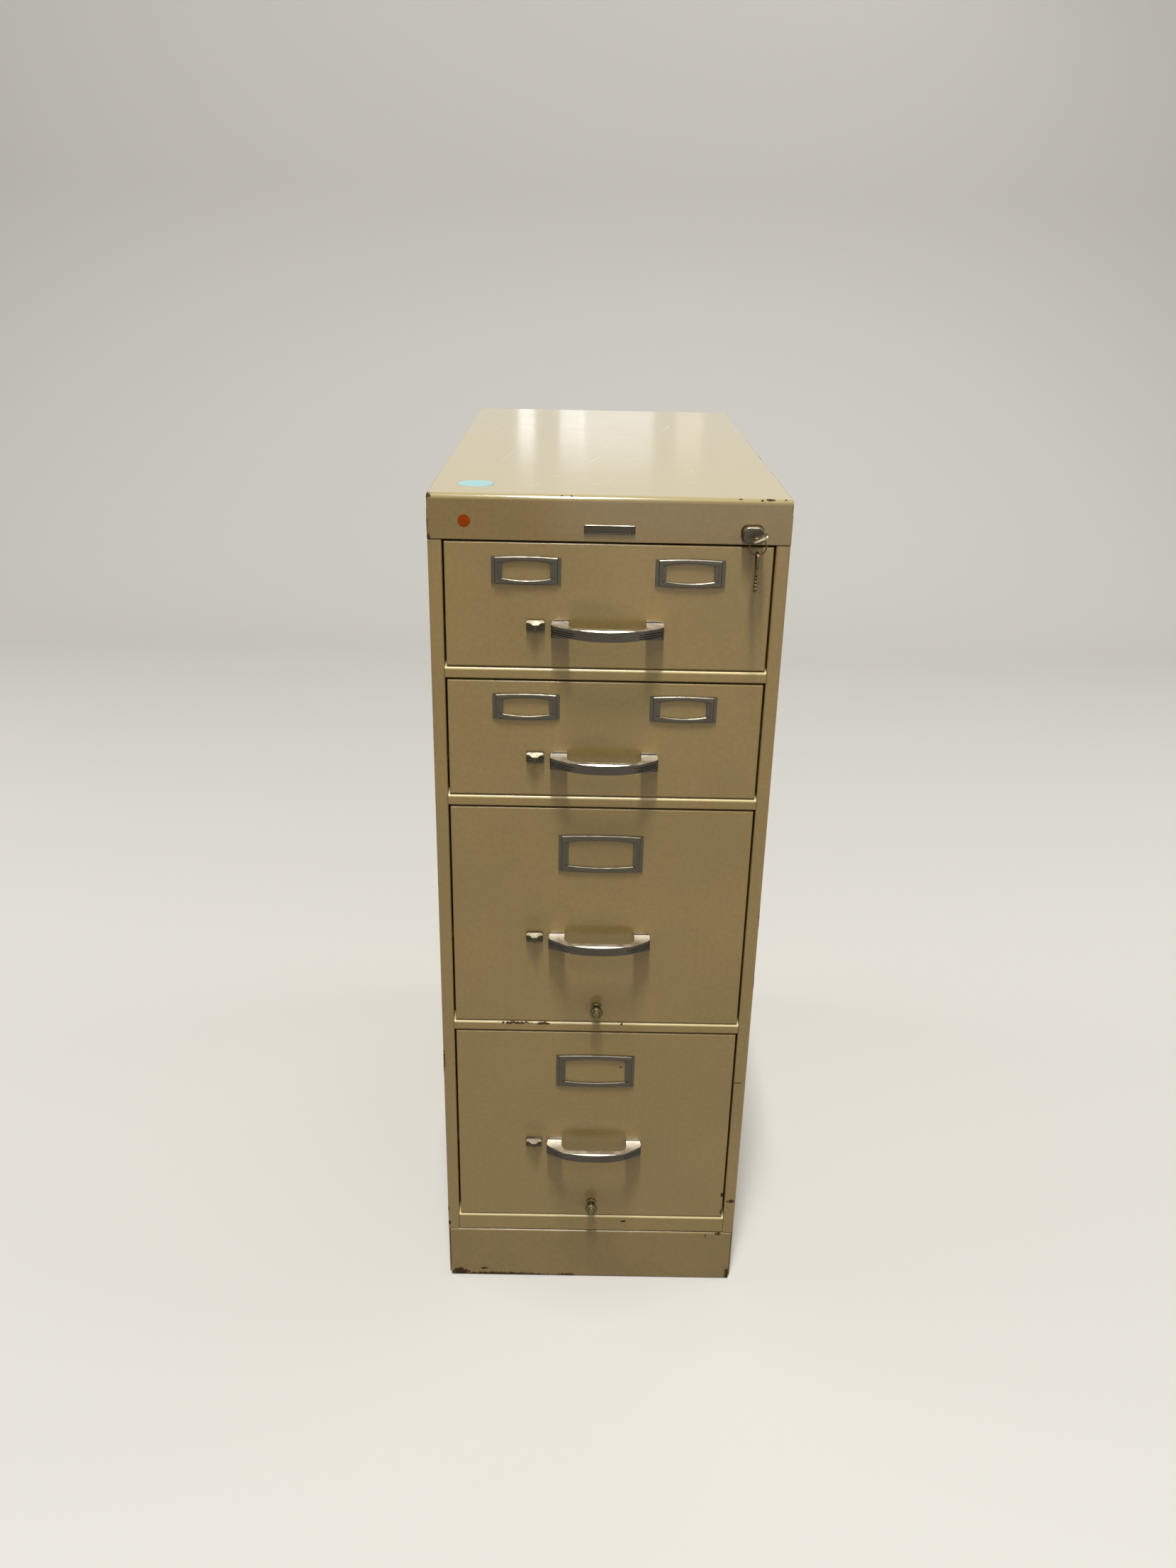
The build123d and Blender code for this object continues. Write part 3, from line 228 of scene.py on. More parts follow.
@dataclass(frozen=True)
class Spot:
    """A chip, dark patch or scratch of the enamel, as an ellipsoid that the sheet passes through."""

    x_mm: float
    y_mm: float
    z_mm: float
    half_x_mm: float
    half_y_mm: float
    half_z_mm: float
    turn_deg: float = 0.0


@dataclass(frozen=True)
class Wear:
    """How one kind of spot shows: its colour, how much it covers and its outline.

    The outline is given in shares of a spot's half size: how far it strays to either side, where
    the spot begins to fade and where it ends.
    """

    colour: str
    cover: float
    stray: float
    fade: float
    end: float
    # The breaks of a coat are finer than this and are drawn coarser, so that they show.
    torn: Pattern = Pattern(3.0, detail=4.0, low=0.25, high=0.75, roughness=0.65)

    def mask(self, tree: Tree, place: Socket, spots: Iterable[Spot]) -> Socket:
        """Find the spots, each with a ragged outline.

        Args:
            tree: The material's node tree.
            place: The coordinates in metres.
            spots: Where the wear is.

        Returns:
            How much the wear covers, which is zero outside the spots.
        """
        stray = self.torn.build(tree, place, -self.stray, self.stray)
        marks = {"From Min": self.fade, "From Max": self.end, "To Min": self.cover, "To Max": 0.0}
        masks = []
        for spot in spots:
            laid = {
                "Vector": place,
                "Location": Vector((spot.x_mm, spot.y_mm, spot.z_mm)) * MM,
                "Rotation": (0.0, 0.0, math.radians(spot.turn_deg)),
                "Scale": Vector((spot.half_x_mm, spot.half_y_mm, spot.half_z_mm)) * MM,
            }
            near = add(tree, "Mapping", laid, vector_type="TEXTURE").outputs[0]
            reach = add(tree, "VectorMath", {0: near}, operation="LENGTH").outputs["Value"]
            rim = add(tree, "Math", {0: reach, 1: stray}, operation="ADD").outputs[0]
            masks.append(add(tree, "MapRange", {"Value": rim, **marks}).outputs[0])
        total = masks[0]
        for mask in masks[1:]:
            total = add(tree, "Math", {0: total, 1: mask}, operation="MAXIMUM").outputs[0]
        return total


# The coat is gone, down to brown primer and rusty steel.
CHIPPED = Wear("#463520", cover=1.0, stray=0.75, fade=0.92, end=1.05)
# A faint brown darkening, which fades out on all sides.
DARKENED = Wear("#5f4a29", cover=0.26, stray=0.3, fade=0.1, end=1.1)
# The top of the coat is cut and scatters light, so that the line looks pale.
SCRATCHED = Wear("#d8cfb4", cover=0.6, stray=0.8, fade=0.5, end=1.0)


@dataclass(frozen=True)
class Enamel:
    """Stoved enamel on sheet steel: sprayed and baked, so it is glossy over a fine orange peel.

    The eye gets a soft sheen that breaks up a little, a slightly uneven colour where hands and
    years have yellowed it, painted light on the upper faces where a colour is given for it, rubbed
    edges lightened partly as a painted highlight, and a few chips down to brown primer and steel.
    """

    name: str
    chips: tuple[Spot, ...]
    dark_patches: tuple[Spot, ...] = ()
    scratches: tuple[Spot, ...] = ()
    colour: str = "#9a8350"
    shade: str = "#8a7546"
    shade_share: float = 0.45
    warm: str = "#9f814f"
    warm_share: float = 0.4
    mottle_share: float = 0.07
    # Painted light: the upper faces turn towards this colour where one is given.
    upper_light: str = ""
    upper_light_begins: float = 0.05
    # Rubbed edges: worn coat, lightened partly as a painted highlight.
    rubbed_and_lit: str = "#b09c6c"
    rubbed_and_lit_share: float = 0.5
    # A bend is found where the rounded face leans away from the true one: cosines of that angle.
    bend_mm: float = 1.0
    bend_begins: float = 0.99
    bend_in_full: float = 0.85
    ior: float = 1.5
    gloss: float = 0.5
    bare_gloss: float = 0.1
    roughness: float = 0.24
    wipe_share: float = 0.25
    bare_roughness: float = 0.8
    coat_mm: float = 0.15
    chip_strength: float = 0.6
    clouds: Pattern = Pattern(160.0, detail=4.0, low=0.35, high=0.7)
    yellowing: Pattern = Pattern(64.0, detail=3.0, low=0.45, high=0.75)
    wipes: Pattern = Pattern(70.0, detail=4.0, low=0.3, high=0.75)
    # The mottle and the flecks of rubbed coat are drawn coarser than real ones, so that they show.
    mottle: Pattern = Pattern(5.0, detail=5.0, low=0.3, high=0.7)
    flecks: Pattern = Pattern(3.2, detail=3.0, low=0.5, high=0.7)
    # Orange peel is a millimetre or two across and is drawn a little coarser, so that it shows.
    peel: Relief = Relief(2.2, height_mm=0.012, detail=1.5, bend_mm=0.7)

    def build(self) -> bpy.types.Material:
        """Make the material.

        Returns:
            The enamel with its wear and its painted light.
        """
        material, tree, place = new_material(self.name)
        chipped = CHIPPED.mask(tree, place, self.chips)
        # Rubbed edges, lighter partly from wear and partly as a painted highlight.
        layers = [(self._rubbed_and_lit_edges(tree, place), self.rubbed_and_lit)]
        # Painted light on the upper faces, where a colour is given for them.
        if self.upper_light:
            layers.insert(0, (facing_up(tree, self.upper_light_begins), self.upper_light))
        for wear, spots in ((DARKENED, self.dark_patches), (SCRATCHED, self.scratches)):
            if spots:
                layers.append((wear.mask(tree, place, spots), wear.colour))
        layers.append((chipped, CHIPPED.colour))
        colour = self._colour(tree, place)
        for share, tint in layers:
            mix = {SHARE: share, COLOUR_A: colour, COLOUR_B: linear(tint)}
            colour = add(tree, "Mix", mix, data_type="RGBA").outputs[COLOUR_OUT]
        smooth, dull = (self.roughness * (1 + side * self.wipe_share) for side in (-1, 1))
        wiping_and_highlight = self.wipes.build(tree, place, smooth, dull)
        rough = {SHARE: chipped, NUMBER_A: wiping_and_highlight, NUMBER_B: self.bare_roughness}
        shine = {SHARE: chipped, NUMBER_A: self.gloss, NUMBER_B: self.bare_gloss}
        sunk = {
            "Strength": self.chip_strength,
            "Distance": self.coat_mm * MM,
            "Height": chipped,
            "Normal": self.peel.build(tree, place),
        }
        surface = {
            "Base Color": colour,
            "IOR": self.ior,
            "Roughness": add(tree, "Mix", rough).outputs[0],
            "Specular IOR Level": add(tree, "Mix", shine).outputs[0],
            "Normal": add(tree, "Bump", sunk, invert=True).outputs[0],
        }
        close_material(tree, surface)
        return material

    def _colour(self, tree: Tree, place: Socket) -> Socket:
        """Colour the sound enamel: clouds of shade and warmth over a fine mottle.

        Args:
            tree: The material's node tree.
            place: The coordinates in metres.

        Returns:
            The colour before the painted light on the upper faces and the wear.
        """
        shaded = self.clouds.build(tree, place, most=self.shade_share)
        warmed = self.yellowing.build(tree, place, most=self.warm_share)
        colour = linear(self.colour)
        for share, tint in ((shaded, self.shade), (warmed, self.warm)):
            mix = {SHARE: share, COLOUR_A: colour, COLOUR_B: linear(tint)}
            colour = add(tree, "Mix", mix, data_type="RGBA").outputs[COLOUR_OUT]
        level = self.mottle.build(tree, place, 1 - self.mottle_share, 1 + self.mottle_share)
        return add(tree, "VectorMath", {0: colour, "Scale": level}, operation="SCALE").outputs[0]

    def _rubbed_and_lit_edges(self, tree: Tree, place: Socket) -> Socket:
        """Find where the coat is rubbed and lightened, partly as a painted highlight: in flecks
        along the bends and cut edges of the sheet.

        Args:
            tree: The material's node tree.
            place: The coordinates in metres.

        Returns:
            How much the rubbed and lightened edge covers.
        """
        rounded = add(tree, "Bevel", {"Radius": self.bend_mm * MM}, samples=PROBES).outputs[0]
        true = add(tree, "NewGeometry").outputs["Normal"]
        lean = add(tree, "VectorMath", {0: rounded, 1: true}, operation="DOT_PRODUCT")
        span = {"From Min": self.bend_begins, "From Max": self.bend_in_full}
        bend = {"Value": lean.outputs["Value"], **span, "To Max": self.rubbed_and_lit_share}
        edge = add(tree, "MapRange", bend).outputs[0]
        flecks = self.flecks.build(tree, place)
        return add(tree, "Math", {0: edge, 1: flecks}, operation="MULTIPLY").outputs[0]


@dataclass(frozen=True)
class Metal:
    """A cast, plated or drawn metal: smudges break its shine, and painted shade with grime darkens
    its creases.
    """

    name: str
    colour: str
    shade_and_grime: str
    roughness: float
    # Painted highlight: the upper faces turn towards this lighter colour where one is given.
    highlight_upper: str = ""
    highlight_upper_begins: float = 0.1
    smudges: Pattern = Pattern(9.0, detail=5.0, low=0.3, high=0.7)
    # Shares of the roughness and of the colour's level, from the clean face to the smudged one.
    dulling: tuple[float, float] = (0.8, 1.35)
    tone: tuple[float, float] = (0.9, 1.08)
    # Painted shade with grime in the creases is found by how open a crease is, from zero to one.
    shade_and_grime_reach_mm: float = 2.0
    shade_and_grime_begins: float = 0.75
    shade_and_grime_in_full: float = 0.25
    shade_and_grime_share: float = 0.8
    # The grain of a casting or a plated face is finer and is drawn coarser, so that it shows.
    grain: Relief = Relief(0.8, height_mm=0.004, detail=2.0, bend_mm=0.3)

    def build(self) -> bpy.types.Material:
        """Make the material.

        Returns:
            The metal with its smudges, painted highlight and painted crease shade with grime.
        """
        material, tree, place = new_material(self.name)
        smudge = self.smudges.build(tree, place)
        smooth, dull = (self.roughness * share for share in self.dulling)
        rough = {"Value": smudge, "To Min": smooth, "To Max": dull}
        tone = {"Value": smudge, "To Min": self.tone[0], "To Max": self.tone[1]}
        level = add(tree, "MapRange", tone).outputs[0]
        # Painted highlight: the upper faces are mixed towards the lighter colour.
        share, highlight_upper = facing_up(tree, self.highlight_upper_begins), linear(self.highlight_upper or self.colour)
        wiping_and_highlight = {SHARE: share, COLOUR_A: linear(self.colour), COLOUR_B: highlight_upper}
        ground = add(tree, "Mix", wiping_and_highlight, data_type="RGBA").outputs[COLOUR_OUT]
        toned = add(tree, "VectorMath", {0: ground, "Scale": level}, operation="SCALE").outputs[0]
        # Painted shade with grime: the creases are darkened by how open they are.
        reach = {"Distance": self.shade_and_grime_reach_mm * MM}
        crease = add(tree, "AmbientOcclusion", reach, samples=PROBES).outputs["AO"]
        span = {"From Min": self.shade_and_grime_begins, "From Max": self.shade_and_grime_in_full}
        crease_shade_and_grime = add(tree, "MapRange", {"Value": crease, **span, "To Max": self.shade_and_grime_share})
        mix = {SHARE: crease_shade_and_grime.outputs[0], COLOUR_A: toned, COLOUR_B: linear(self.shade_and_grime)}
        surface = {
            "Metallic": 1.0,
            "Base Color": add(tree, "Mix", mix, data_type="RGBA").outputs[COLOUR_OUT],
            "Roughness": add(tree, "MapRange", rough).outputs[0],
            "Normal": self.grain.build(tree, place),
        }
        close_material(tree, surface)
        return material


@dataclass(frozen=True)
class Coating:
    """A dull coat on steel or paper, with a soft mottle and a low sheen."""

    name: str
    colour: str
    shade: str
    roughness: float
    gloss: float = 0.5
    mottle: Pattern = Pattern(12.0, detail=5.0, low=0.35, high=0.7)
    # Paper fibres and the tooth of dull paint are finer and are drawn coarser, so that they show.
    grain: Relief = Relief(0.6, height_mm=0.006, detail=2.0)

    def build(self) -> bpy.types.Material:
        """Make the material.

        Returns:
            The coat.
        """
        material, tree, place = new_material(self.name)
        share = self.mottle.build(tree, place)
        mix = {SHARE: share, COLOUR_A: linear(self.colour), COLOUR_B: linear(self.shade)}
        surface = {
            "Base Color": add(tree, "Mix", mix, data_type="RGBA").outputs[COLOUR_OUT],
            "Roughness": self.roughness,
            "Specular IOR Level": self.gloss,
            "Normal": self.grain.build(tree, place),
        }
        close_material(tree, surface)
        return material


@dataclass(frozen=True)
class StudioPaint:
    """Matt paint of the studio sweep: pale to the eye and in mirrors, dim in the light it casts.

    The eye gets a plain pale ground, and the object keeps the shadows of a room lit from above.
    """

    name: str = "pale_matt_paint"
    seen: str = "#cfccc5"
    cast: str = "#6d655a"
    roughness: float = 0.7

    def build(self) -> bpy.types.Material:
        """Make the material.

        Returns:
            The paint.
        """
        material, tree, _ = new_material(self.name)
        mix = {SHARE: seen_directly(tree), COLOUR_A: linear(self.cast), COLOUR_B: linear(self.seen)}
        colour = add(tree, "Mix", mix, data_type="RGBA").outputs[COLOUR_OUT]
        close_material(tree, {"Base Color": colour, "Roughness": self.roughness})
        return material


# Each spot: the middle's x, y and z, and half its size along each of them.
COVER_CHIPS = (
    Spot(-188.5, FRONT_MM + 3, TOP_MM - 3, 4.2, 4.0, 3.2),
    Spot(-190.5, FRONT_MM + 1, 1022.0, 1.3, 2.0, 9.0),
    Spot(-189.5, FRONT_MM + 1, 1009.0, 2.4, 2.5, 3.5),
    Spot(166.0, FRONT_MM + 3, TOP_MM - 1, 4.4, 1.9, 1.8),
    Spot(182.0, FRONT_MM + 3, TOP_MM - 0.5, 1.6, 1.3, 1.4),
    Spot(135.0, FRONT_MM + 3, TOP_MM - 0.5, 1.9, 1.0, 1.3),
    Spot(157.5, FRONT_MM + 2, TOP_MM - 2, 1.3, 1.0, 1.6),
    Spot(-50.0, FRONT_MM + 3, TOP_MM - 1, 1.6, 1.2, 1.2),
    Spot(-40.0, FRONT_MM + 3, TOP_MM - 1, 1.2, 1.0, 1.0),
    Spot(190.5, -60.0, TOP_MM - 1, 1.6, 30.0, 1.8),
    Spot(190.5, -180.0, TOP_MM - 1, 1.6, 14.0, 1.6),
)
SCRATCH_HALF_DEPTH_MM = 2.0
# Each scratch on the top: the middle's x and y, half its length and width, and its turn. Hairlines
# are finer than this and are drawn wider, so that they show.
COVER_SCRATCHES = tuple(
    Spot(x, y, TOP_MM, half_length, half_width, SCRATCH_HALF_DEPTH_MM, turn)
    for x, y, half_length, half_width, turn in (
        (67.0, 0.0, 25.0, 0.6, 47.0),
        (-1.0, -5.0, 24.0, 0.6, 65.0),
        (0.0, 63.0, 11.0, 0.9, -24.0),
        (88.0, 188.0, 48.0, 0.8, 79.0),
        (-120.0, -89.0, 51.0, 0.7, 82.0),
        (-18.0, -117.0, 37.0, 0.7, 73.0),
        (-41.0, 129.0, 27.0, 0.8, -58.0),
        (-152.0, 156.0, 14.0, 0.9, 76.0),
        (96.0, -175.0, 16.0, 0.6, -75.0),
        (28.0, -101.0, 20.0, 0.7, 43.0),
        (-33.0, 266.0, 16.0, 1.0, 55.0),
        (-60.0, -231.0, 18.0, 0.5, 51.0),
        (87.0, -250.0, 26.0, 0.5, -58.0),
        (48.0, 208.0, 11.0, 1.0, -38.0),
        (-79.0, -285.0, 11.0, 0.5, 52.0),
        (-7.0, -261.0, 30.0, 0.5, 59.0),
        (20.0, 90.0, 30.0, 0.8, 8.0),
        (-30.0, 20.0, 22.0, 0.7, -12.0),
        (40.0, 300.0, 34.0, 1.2, 4.0),
        (10.0, 220.0, 28.0, 1.1, -6.0),
    )
)
CASE_CHIPS = (
    Spot(-98.0, FRONT_MM, 407.8, 19.0, 3.0, 1.5),
    Spot(-66.0, FRONT_MM, 407.6, 8.0, 3.0, 1.8),
    Spot(31.0, FRONT_MM, 408.2, 1.5, 2.0, 1.4),
    Spot(43.0, FRONT_MM, 96.0, 4.0, 2.0, 1.6),
    Spot(180.0, FRONT_MM, 323.0, 5.0, 2.0, 0.8),
    Spot(184.0, FRONT_MM, 133.0, 4.5, 2.0, 2.6),
    Spot(-190.0, FRONT_MM + 1, 350.0, 1.8, 3.0, 19.0),
    Spot(-190.5, FRONT_MM + 1, 113.0, 1.8, 2.4, 5.0),
    Spot(-189.5, FRONT_MM + 1, 89.0, 2.6, 2.4, 4.0),
    Spot(190.5, FRONT_MM + 1, 560.0, 1.4, 2.0, 12.0),
    Spot(190.5, FRONT_MM + 1, 470.0, 1.4, 2.0, 8.0),
)
DRAWER_CHIPS = (
    Spot(172.0, FRONT_MM, 143.0, 2.4, 2.0, 3.6),
    Spot(172.5, FRONT_MM, 114.5, 1.8, 2.0, 4.6),
    Spot(32.0, FRONT_MM, 344.0, 1.6, 2.0, 0.9),
)
DARK_PATCH_HALF_DEPTH_MM = 3.0
# Each dark patch on a drawer's front: the middle's x and z, and half its width and height.
DRAWER_DARK_PATCHES = tuple(
    Spot(x, FRONT_MM, z, half_width, DARK_PATCH_HALF_DEPTH_MM, half_height)
    for x, z, half_width, half_height in (
        (-20.0, 934.0, 46.0, 12.0),
        (-78.0, 896.0, 6.0, 24.0),
        (-112.0, 950.0, 18.0, 8.0),
        (163.0, 972.0, 10.0, 24.0),
        (-24.0, 782.0, 46.0, 12.0),
        (-79.0, 744.0, 6.0, 24.0),
        (-78.0, 552.0, 20.0, 18.0),
        (-74.0, 503.0, 6.0, 28.0),
        (2.0, 548.0, 48.0, 18.0),
        (-77.0, 246.0, 18.0, 16.0),
        (-73.0, 198.0, 6.0, 28.0),
        (-8.0, 243.0, 46.0, 16.0),
    )
)
PLINTH_CHIPS = (
    Spot(-122.0, FRONT_MM, 1.5, 66.0, 4.0, 3.4),
    Spot(-176.0, FRONT_MM, 4.0, 12.0, 4.0, 7.0),
    Spot(-144.0, FRONT_MM, 11.7, 6.0, 3.0, 1.8),
    Spot(-31.0, FRONT_MM, 2.0, 12.0, 4.0, 2.6),
    Spot(186.0, FRONT_MM, 8.0, 3.4, 4.0, 10.0),
    Spot(170.0, FRONT_MM, 77.6, 4.0, 3.0, 1.8),
    Spot(153.6, FRONT_MM, 74.5, 0.8, 2.0, 3.4),
)

# Sprayed and stoved flat on the widest sheet, then polished by cloths: the smoothest enamel, which
# mirrors the windows in soft bands and shows thin pale scratches; painted light makes its upper
# faces paler.
COVER_ENAMEL = Enamel(
    name="stoved_enamel_cover",
    colour="#907949",
    shade="#826d41",
    warm="#957849",
    upper_light="#a8996c",
    roughness=0.13,
    wipe_share=0.12,
    # The peel has flowed out to long flat waves on the level sheet.
    peel=Relief(6.0, height_mm=0.002, detail=1.5, bend_mm=0.7),
    chips=COVER_CHIPS,
    scratches=COVER_SCRATCHES,
)
# Sprayed and stoved over bent sheet: a satin sheen over fine orange peel, with dark chips at the
# corners.
CASE_ENAMEL = Enamel(name="stoved_enamel_case", chips=CASE_CHIPS)
# The same coat on the rails: a painted highlight makes their rounded upper edges pale cream lines.
RAIL_ENAMEL = Enamel(
    name="stoved_enamel_rails", roughness=0.3, upper_light="#d8c68f", chips=CASE_CHIPS
)
# The same coat on the drawers: faint brown darkening round the handles and below the latches.
DRAWER_ENAMEL = Enamel(
    name="stoved_enamel_drawers", chips=DRAWER_CHIPS, dark_patches=DRAWER_DARK_PATCHES
)
# The same coat near the floor, made a little darker as painted shade, kicked bare along its lower
# edge.
PLINTH_ENAMEL = Enamel(
    name="stoved_enamel_plinth", colour="#8f7948", shade="#806b3e", chips=PLINTH_CHIPS
)
# Dipped primer on the inner frame: flat and brown, so that the openings stay dark.
PRIMER = Coating("dipped_primer", "#4a443c", "#3a342d", 0.7)
# Grey stoved enamel on the follower plates: a low even sheen.
FOLLOWER_PAINT = Coating("grey_stoved_enamel", "#5f5a50", "#514c44", 0.45)
# Barrel-plated zinc on the slides: pale grey with a cloudy, soft shine.
ZINC = Metal(
    "zinc_plated_steel", "#a2a19c", "#5d554a", 0.38, smudges=Pattern(14.0, 5.0, low=0.3, high=0.7)
)
# Cast and polished aluminium: dull brown-grey, a little darker where smudged, with a painted
# highlight on the upper faces and painted shade with black dirt in the flutes.
CAST_ALUMINIUM = Metal(
    "cast_aluminium_polished", "#544e46", "#1d1812", 0.44, highlight_upper="#d2c9b6", shade_and_grime_reach_mm=2.6
)
# Pressed steel under nickel plate: a smooth warm grey with bright lines along its rolled edges and
# a faint painted highlight on its upper faces.
LABEL_PLATE = Metal(
    "pressed_steel_nickel_plated", "#585349", "#1c1a13", 0.38, highlight_upper="#625c51", shade_and_grime_reach_mm=1.6
)
# Die-cast and plated zinc: a rim made bright by a painted highlight, round a field that painted
# shade and dirt darken between its flutes.
NAMEPLATE = Metal(
    "die_cast_zinc_plated",
    "#4c463c",
    "#120f0a",
    0.34,
    highlight_upper="#8a8272",
    shade_and_grime_reach_mm=3.4,
    shade_and_grime_share=1.0,
)
# Cast zinc under chrome plate worn by thumbs: a pale cap of painted highlight over ribs that painted
# shade and grime darken, with no sharp mirror left.
LATCH_CAST = Metal(
    "cast_zinc_chrome_plated", "#565042", "#17130e", 0.5, highlight_upper="#7a7260", shade_and_grime_reach_mm=2.4
)
# Cast zinc under nickel plate: dark grey with soft painted highlights on the upper faces round the
# collar.
LOCK_NICKEL = Metal("cast_zinc_nickel_plated", "#544e43", "#1f1912", 0.34, highlight_upper="#a29987")
# Stamped nickel silver, kept bright by the fingers: a pale warm mirror with worn marks.
KEY_NICKEL_SILVER = Metal("stamped_nickel_silver", "#b9b095", "#5a4e36", 0.28, shade_and_grime_reach_mm=1.0)
# Stamped brass that has dulled in the air: olive, with dark cuts.
SPARE_BRASS = Metal("stamped_brass_dulled", "#5c5030", "#2b230e", 0.36, shade_and_grime_reach_mm=1.0)
# Coiled spring wire with a bronze wash: a dark brown line with a thin highlight.
RING_BRONZE = Metal("spring_wire_bronzed", "#5a4630", "#20170d", 0.34, shade_and_grime_reach_mm=0.8)
# Turned steel under bronze plate: a dark greenish knob with a small soft highlight.
ROD_BRONZE = Metal("turned_steel_bronze_plated", "#6d6448", "#2b2616", 0.36, shade_and_grime_reach_mm=1.4)
# Printed paper: flat colour that takes no highlight.
PAPER_FIBRES = Relief(0.6, height_mm=0.003, detail=2.0)
DOT_ORANGE = Coating(
    "printed_paper_orange", "#9c4000", "#903a00", 0.62, gloss=0.12, grain=PAPER_FIBRES
)
DOT_BLUE = Coating(
    "printed_paper_light_blue", "#9bbebc", "#93b7b6", 0.62, gloss=0.25, grain=PAPER_FIBRES
)
STUDIO_PAINT = StudioPaint()


def dress(names: Iterable[str], material: bpy.types.Material) -> None:
    """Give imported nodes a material.

    Args:
        names: The nodes' names.
        material: What each of them is finished in.
    """
    for name in names:
        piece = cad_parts[name]
        if not piece.material_slots:
            piece.data.materials.append(material)
        for slot in piece.material_slots:
            slot.material = material
        LOG.info("%s: %s", name, material.name)


def link(piece: bpy.types.Object, material: bpy.types.Material) -> None:
    """Add a made piece to the scene in its material."""
    bpy.context.scene.collection.objects.link(piece)
    piece.data.materials.append(material)


@dataclass
class ColourDot:
    """A round paper sticker that lies on the enamel, with one edge a little lifted."""

    name: str
    centre: Vector
    normal: Vector
    finish: Coating
    diameter_mm: float
    thickness_mm: float = 0.12
    # Shares of the radius: the rings of the mesh, and where the edge begins to lift.
    rings: tuple[float, ...] = (0.6, 0.92, 1.0)
    lift_begins: float = 0.75
    lift_mm: float = 0.25
    sides: int = 72

    def build(self) -> None:
        """Make the sticker and let it ride on the case."""
        shape = bmesh.new()
        radius = self.diameter_mm * MM / 2
        step = 2 * math.pi / self.sides
        layers = []
        for height in (0.0, self.thickness_mm * MM):
            rows = [[shape.verts.new(self._point(0.0, 0.0, height))]]
            for share in self.rings:
                out = radius * share
                points = (self._point(out, step * i, height) for i in range(self.sides))
                rows.append([shape.verts.new(point) for point in points])
            layers.append(rows)
        for rows, flip in zip(layers, (True, False)):
            self._skin(shape, rows, flip)
        low, high = layers[0][-1], layers[1][-1]
        for i in range(self.sides):
            j = (i + 1) % self.sides
            shape.faces.new((low[i], low[j], high[j], high[i]))
        mesh = bpy.data.meshes.new(self.name)
        shape.to_mesh(mesh)
        shape.free()
        piece = bpy.data.objects.new(self.name, mesh)
        turn = Vector((0, 0, 1)).rotation_difference(self.normal)
        piece.matrix_world = Matrix.Translation(self.centre) @ turn.to_matrix().to_4x4()
        link(piece, self.finish.build())
        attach(piece, "case")
        LOG.info("%s: %s", self.name, self.finish.name)

    def _point(self, radius: float, turn: float, height: float) -> Vector:
        """Place a point of the sticker, lifted towards one edge.

        Args:
            radius: How far the point is from the middle.
            turn: Its angle round the middle, from the edge that is lifted.
            height: How far it is above the enamel before the lift.

        Returns:
            The point in the sticker's own coordinates.
        """
        x = radius * math.cos(turn)
        y = radius * math.sin(turn)
        past = max(0.0, x / (self.diameter_mm * MM / 2) - self.lift_begins)
        reach = past / (1 - self.lift_begins)
        return Vector((x, y, height + self.lift_mm * MM * reach**2))

    def _skin(
        self, shape: bmesh.types.BMesh, rows: list[list[bmesh.types.BMVert]], flip: bool
    ) -> None:
        """Close one side of the sticker, from its middle to its rim.

        Args:
            shape: The mesh that the faces go to.
            rows: The middle and the rings of points, from the inside out.
            flip: Whether the faces look down.
        """
        for i in range(self.sides):
            j = (i + 1) % self.sides
            face = [rows[0][0], rows[1][i], rows[1][j]]
            shape.faces.new(face[::-1] if flip else face)
            for inner, outer in zip(rows[1:], rows[2:]):
                face = [inner[i], outer[i], outer[j], inner[j]]
                shape.faces.new(face[::-1] if flip else face)


@dataclass
class CaseShell:
    """The welded case: cover, sides, plinth, rails, inner frame and the plain header plate."""

    orange_dot_x_mm: float = -151.7
    orange_dot_z_mm: float = 1026.3
    orange_dot_mm: float = 13.0
    blue_dot_x_mm: float = -143.5
    blue_dot_set_back_mm: float = 60.0
    blue_dot_mm: float = 39.0

    def build(self) -> None:
        """Dress the case and put its two dots on."""
        rails = ["cross_rail_1", "cross_rail_2", "cross_rail_3", "base_rail"]
        dress(["top_cover"], COVER_ENAMEL.build())
        dress(["side_panel_left", "side_panel_right", "back_panel"], CASE_ENAMEL.build())
        dress(rails, RAIL_ENAMEL.build())
        dress(["kick_plate"], PLINTH_ENAMEL.build())
        dress(["base_pan", "front_uprights", "rear_uprights"], PRIMER.build())
        dress(["case_channels_left", "case_channels_right", "lock_bar"], ZINC.build())
        dress(["nameplate"], NAMEPLATE.build())
        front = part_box("top_cover")[0].y
        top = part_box("top_cover")[1].z
        orange = Vector((self.orange_dot_x_mm * MM, front, self.orange_dot_z_mm * MM))
        ahead, up = Vector((0, -1, 0)), Vector((0, 0, 1))
        ColourDot("orange_dot", orange, ahead, DOT_ORANGE, self.orange_dot_mm).build()
        blue = Vector((self.blue_dot_x_mm * MM, front + self.blue_dot_set_back_mm * MM, top))
        ColourDot("blue_dot", blue, up, DOT_BLUE, self.blue_dot_mm).build()
        LOG.info("case dressed, with two paper dots")


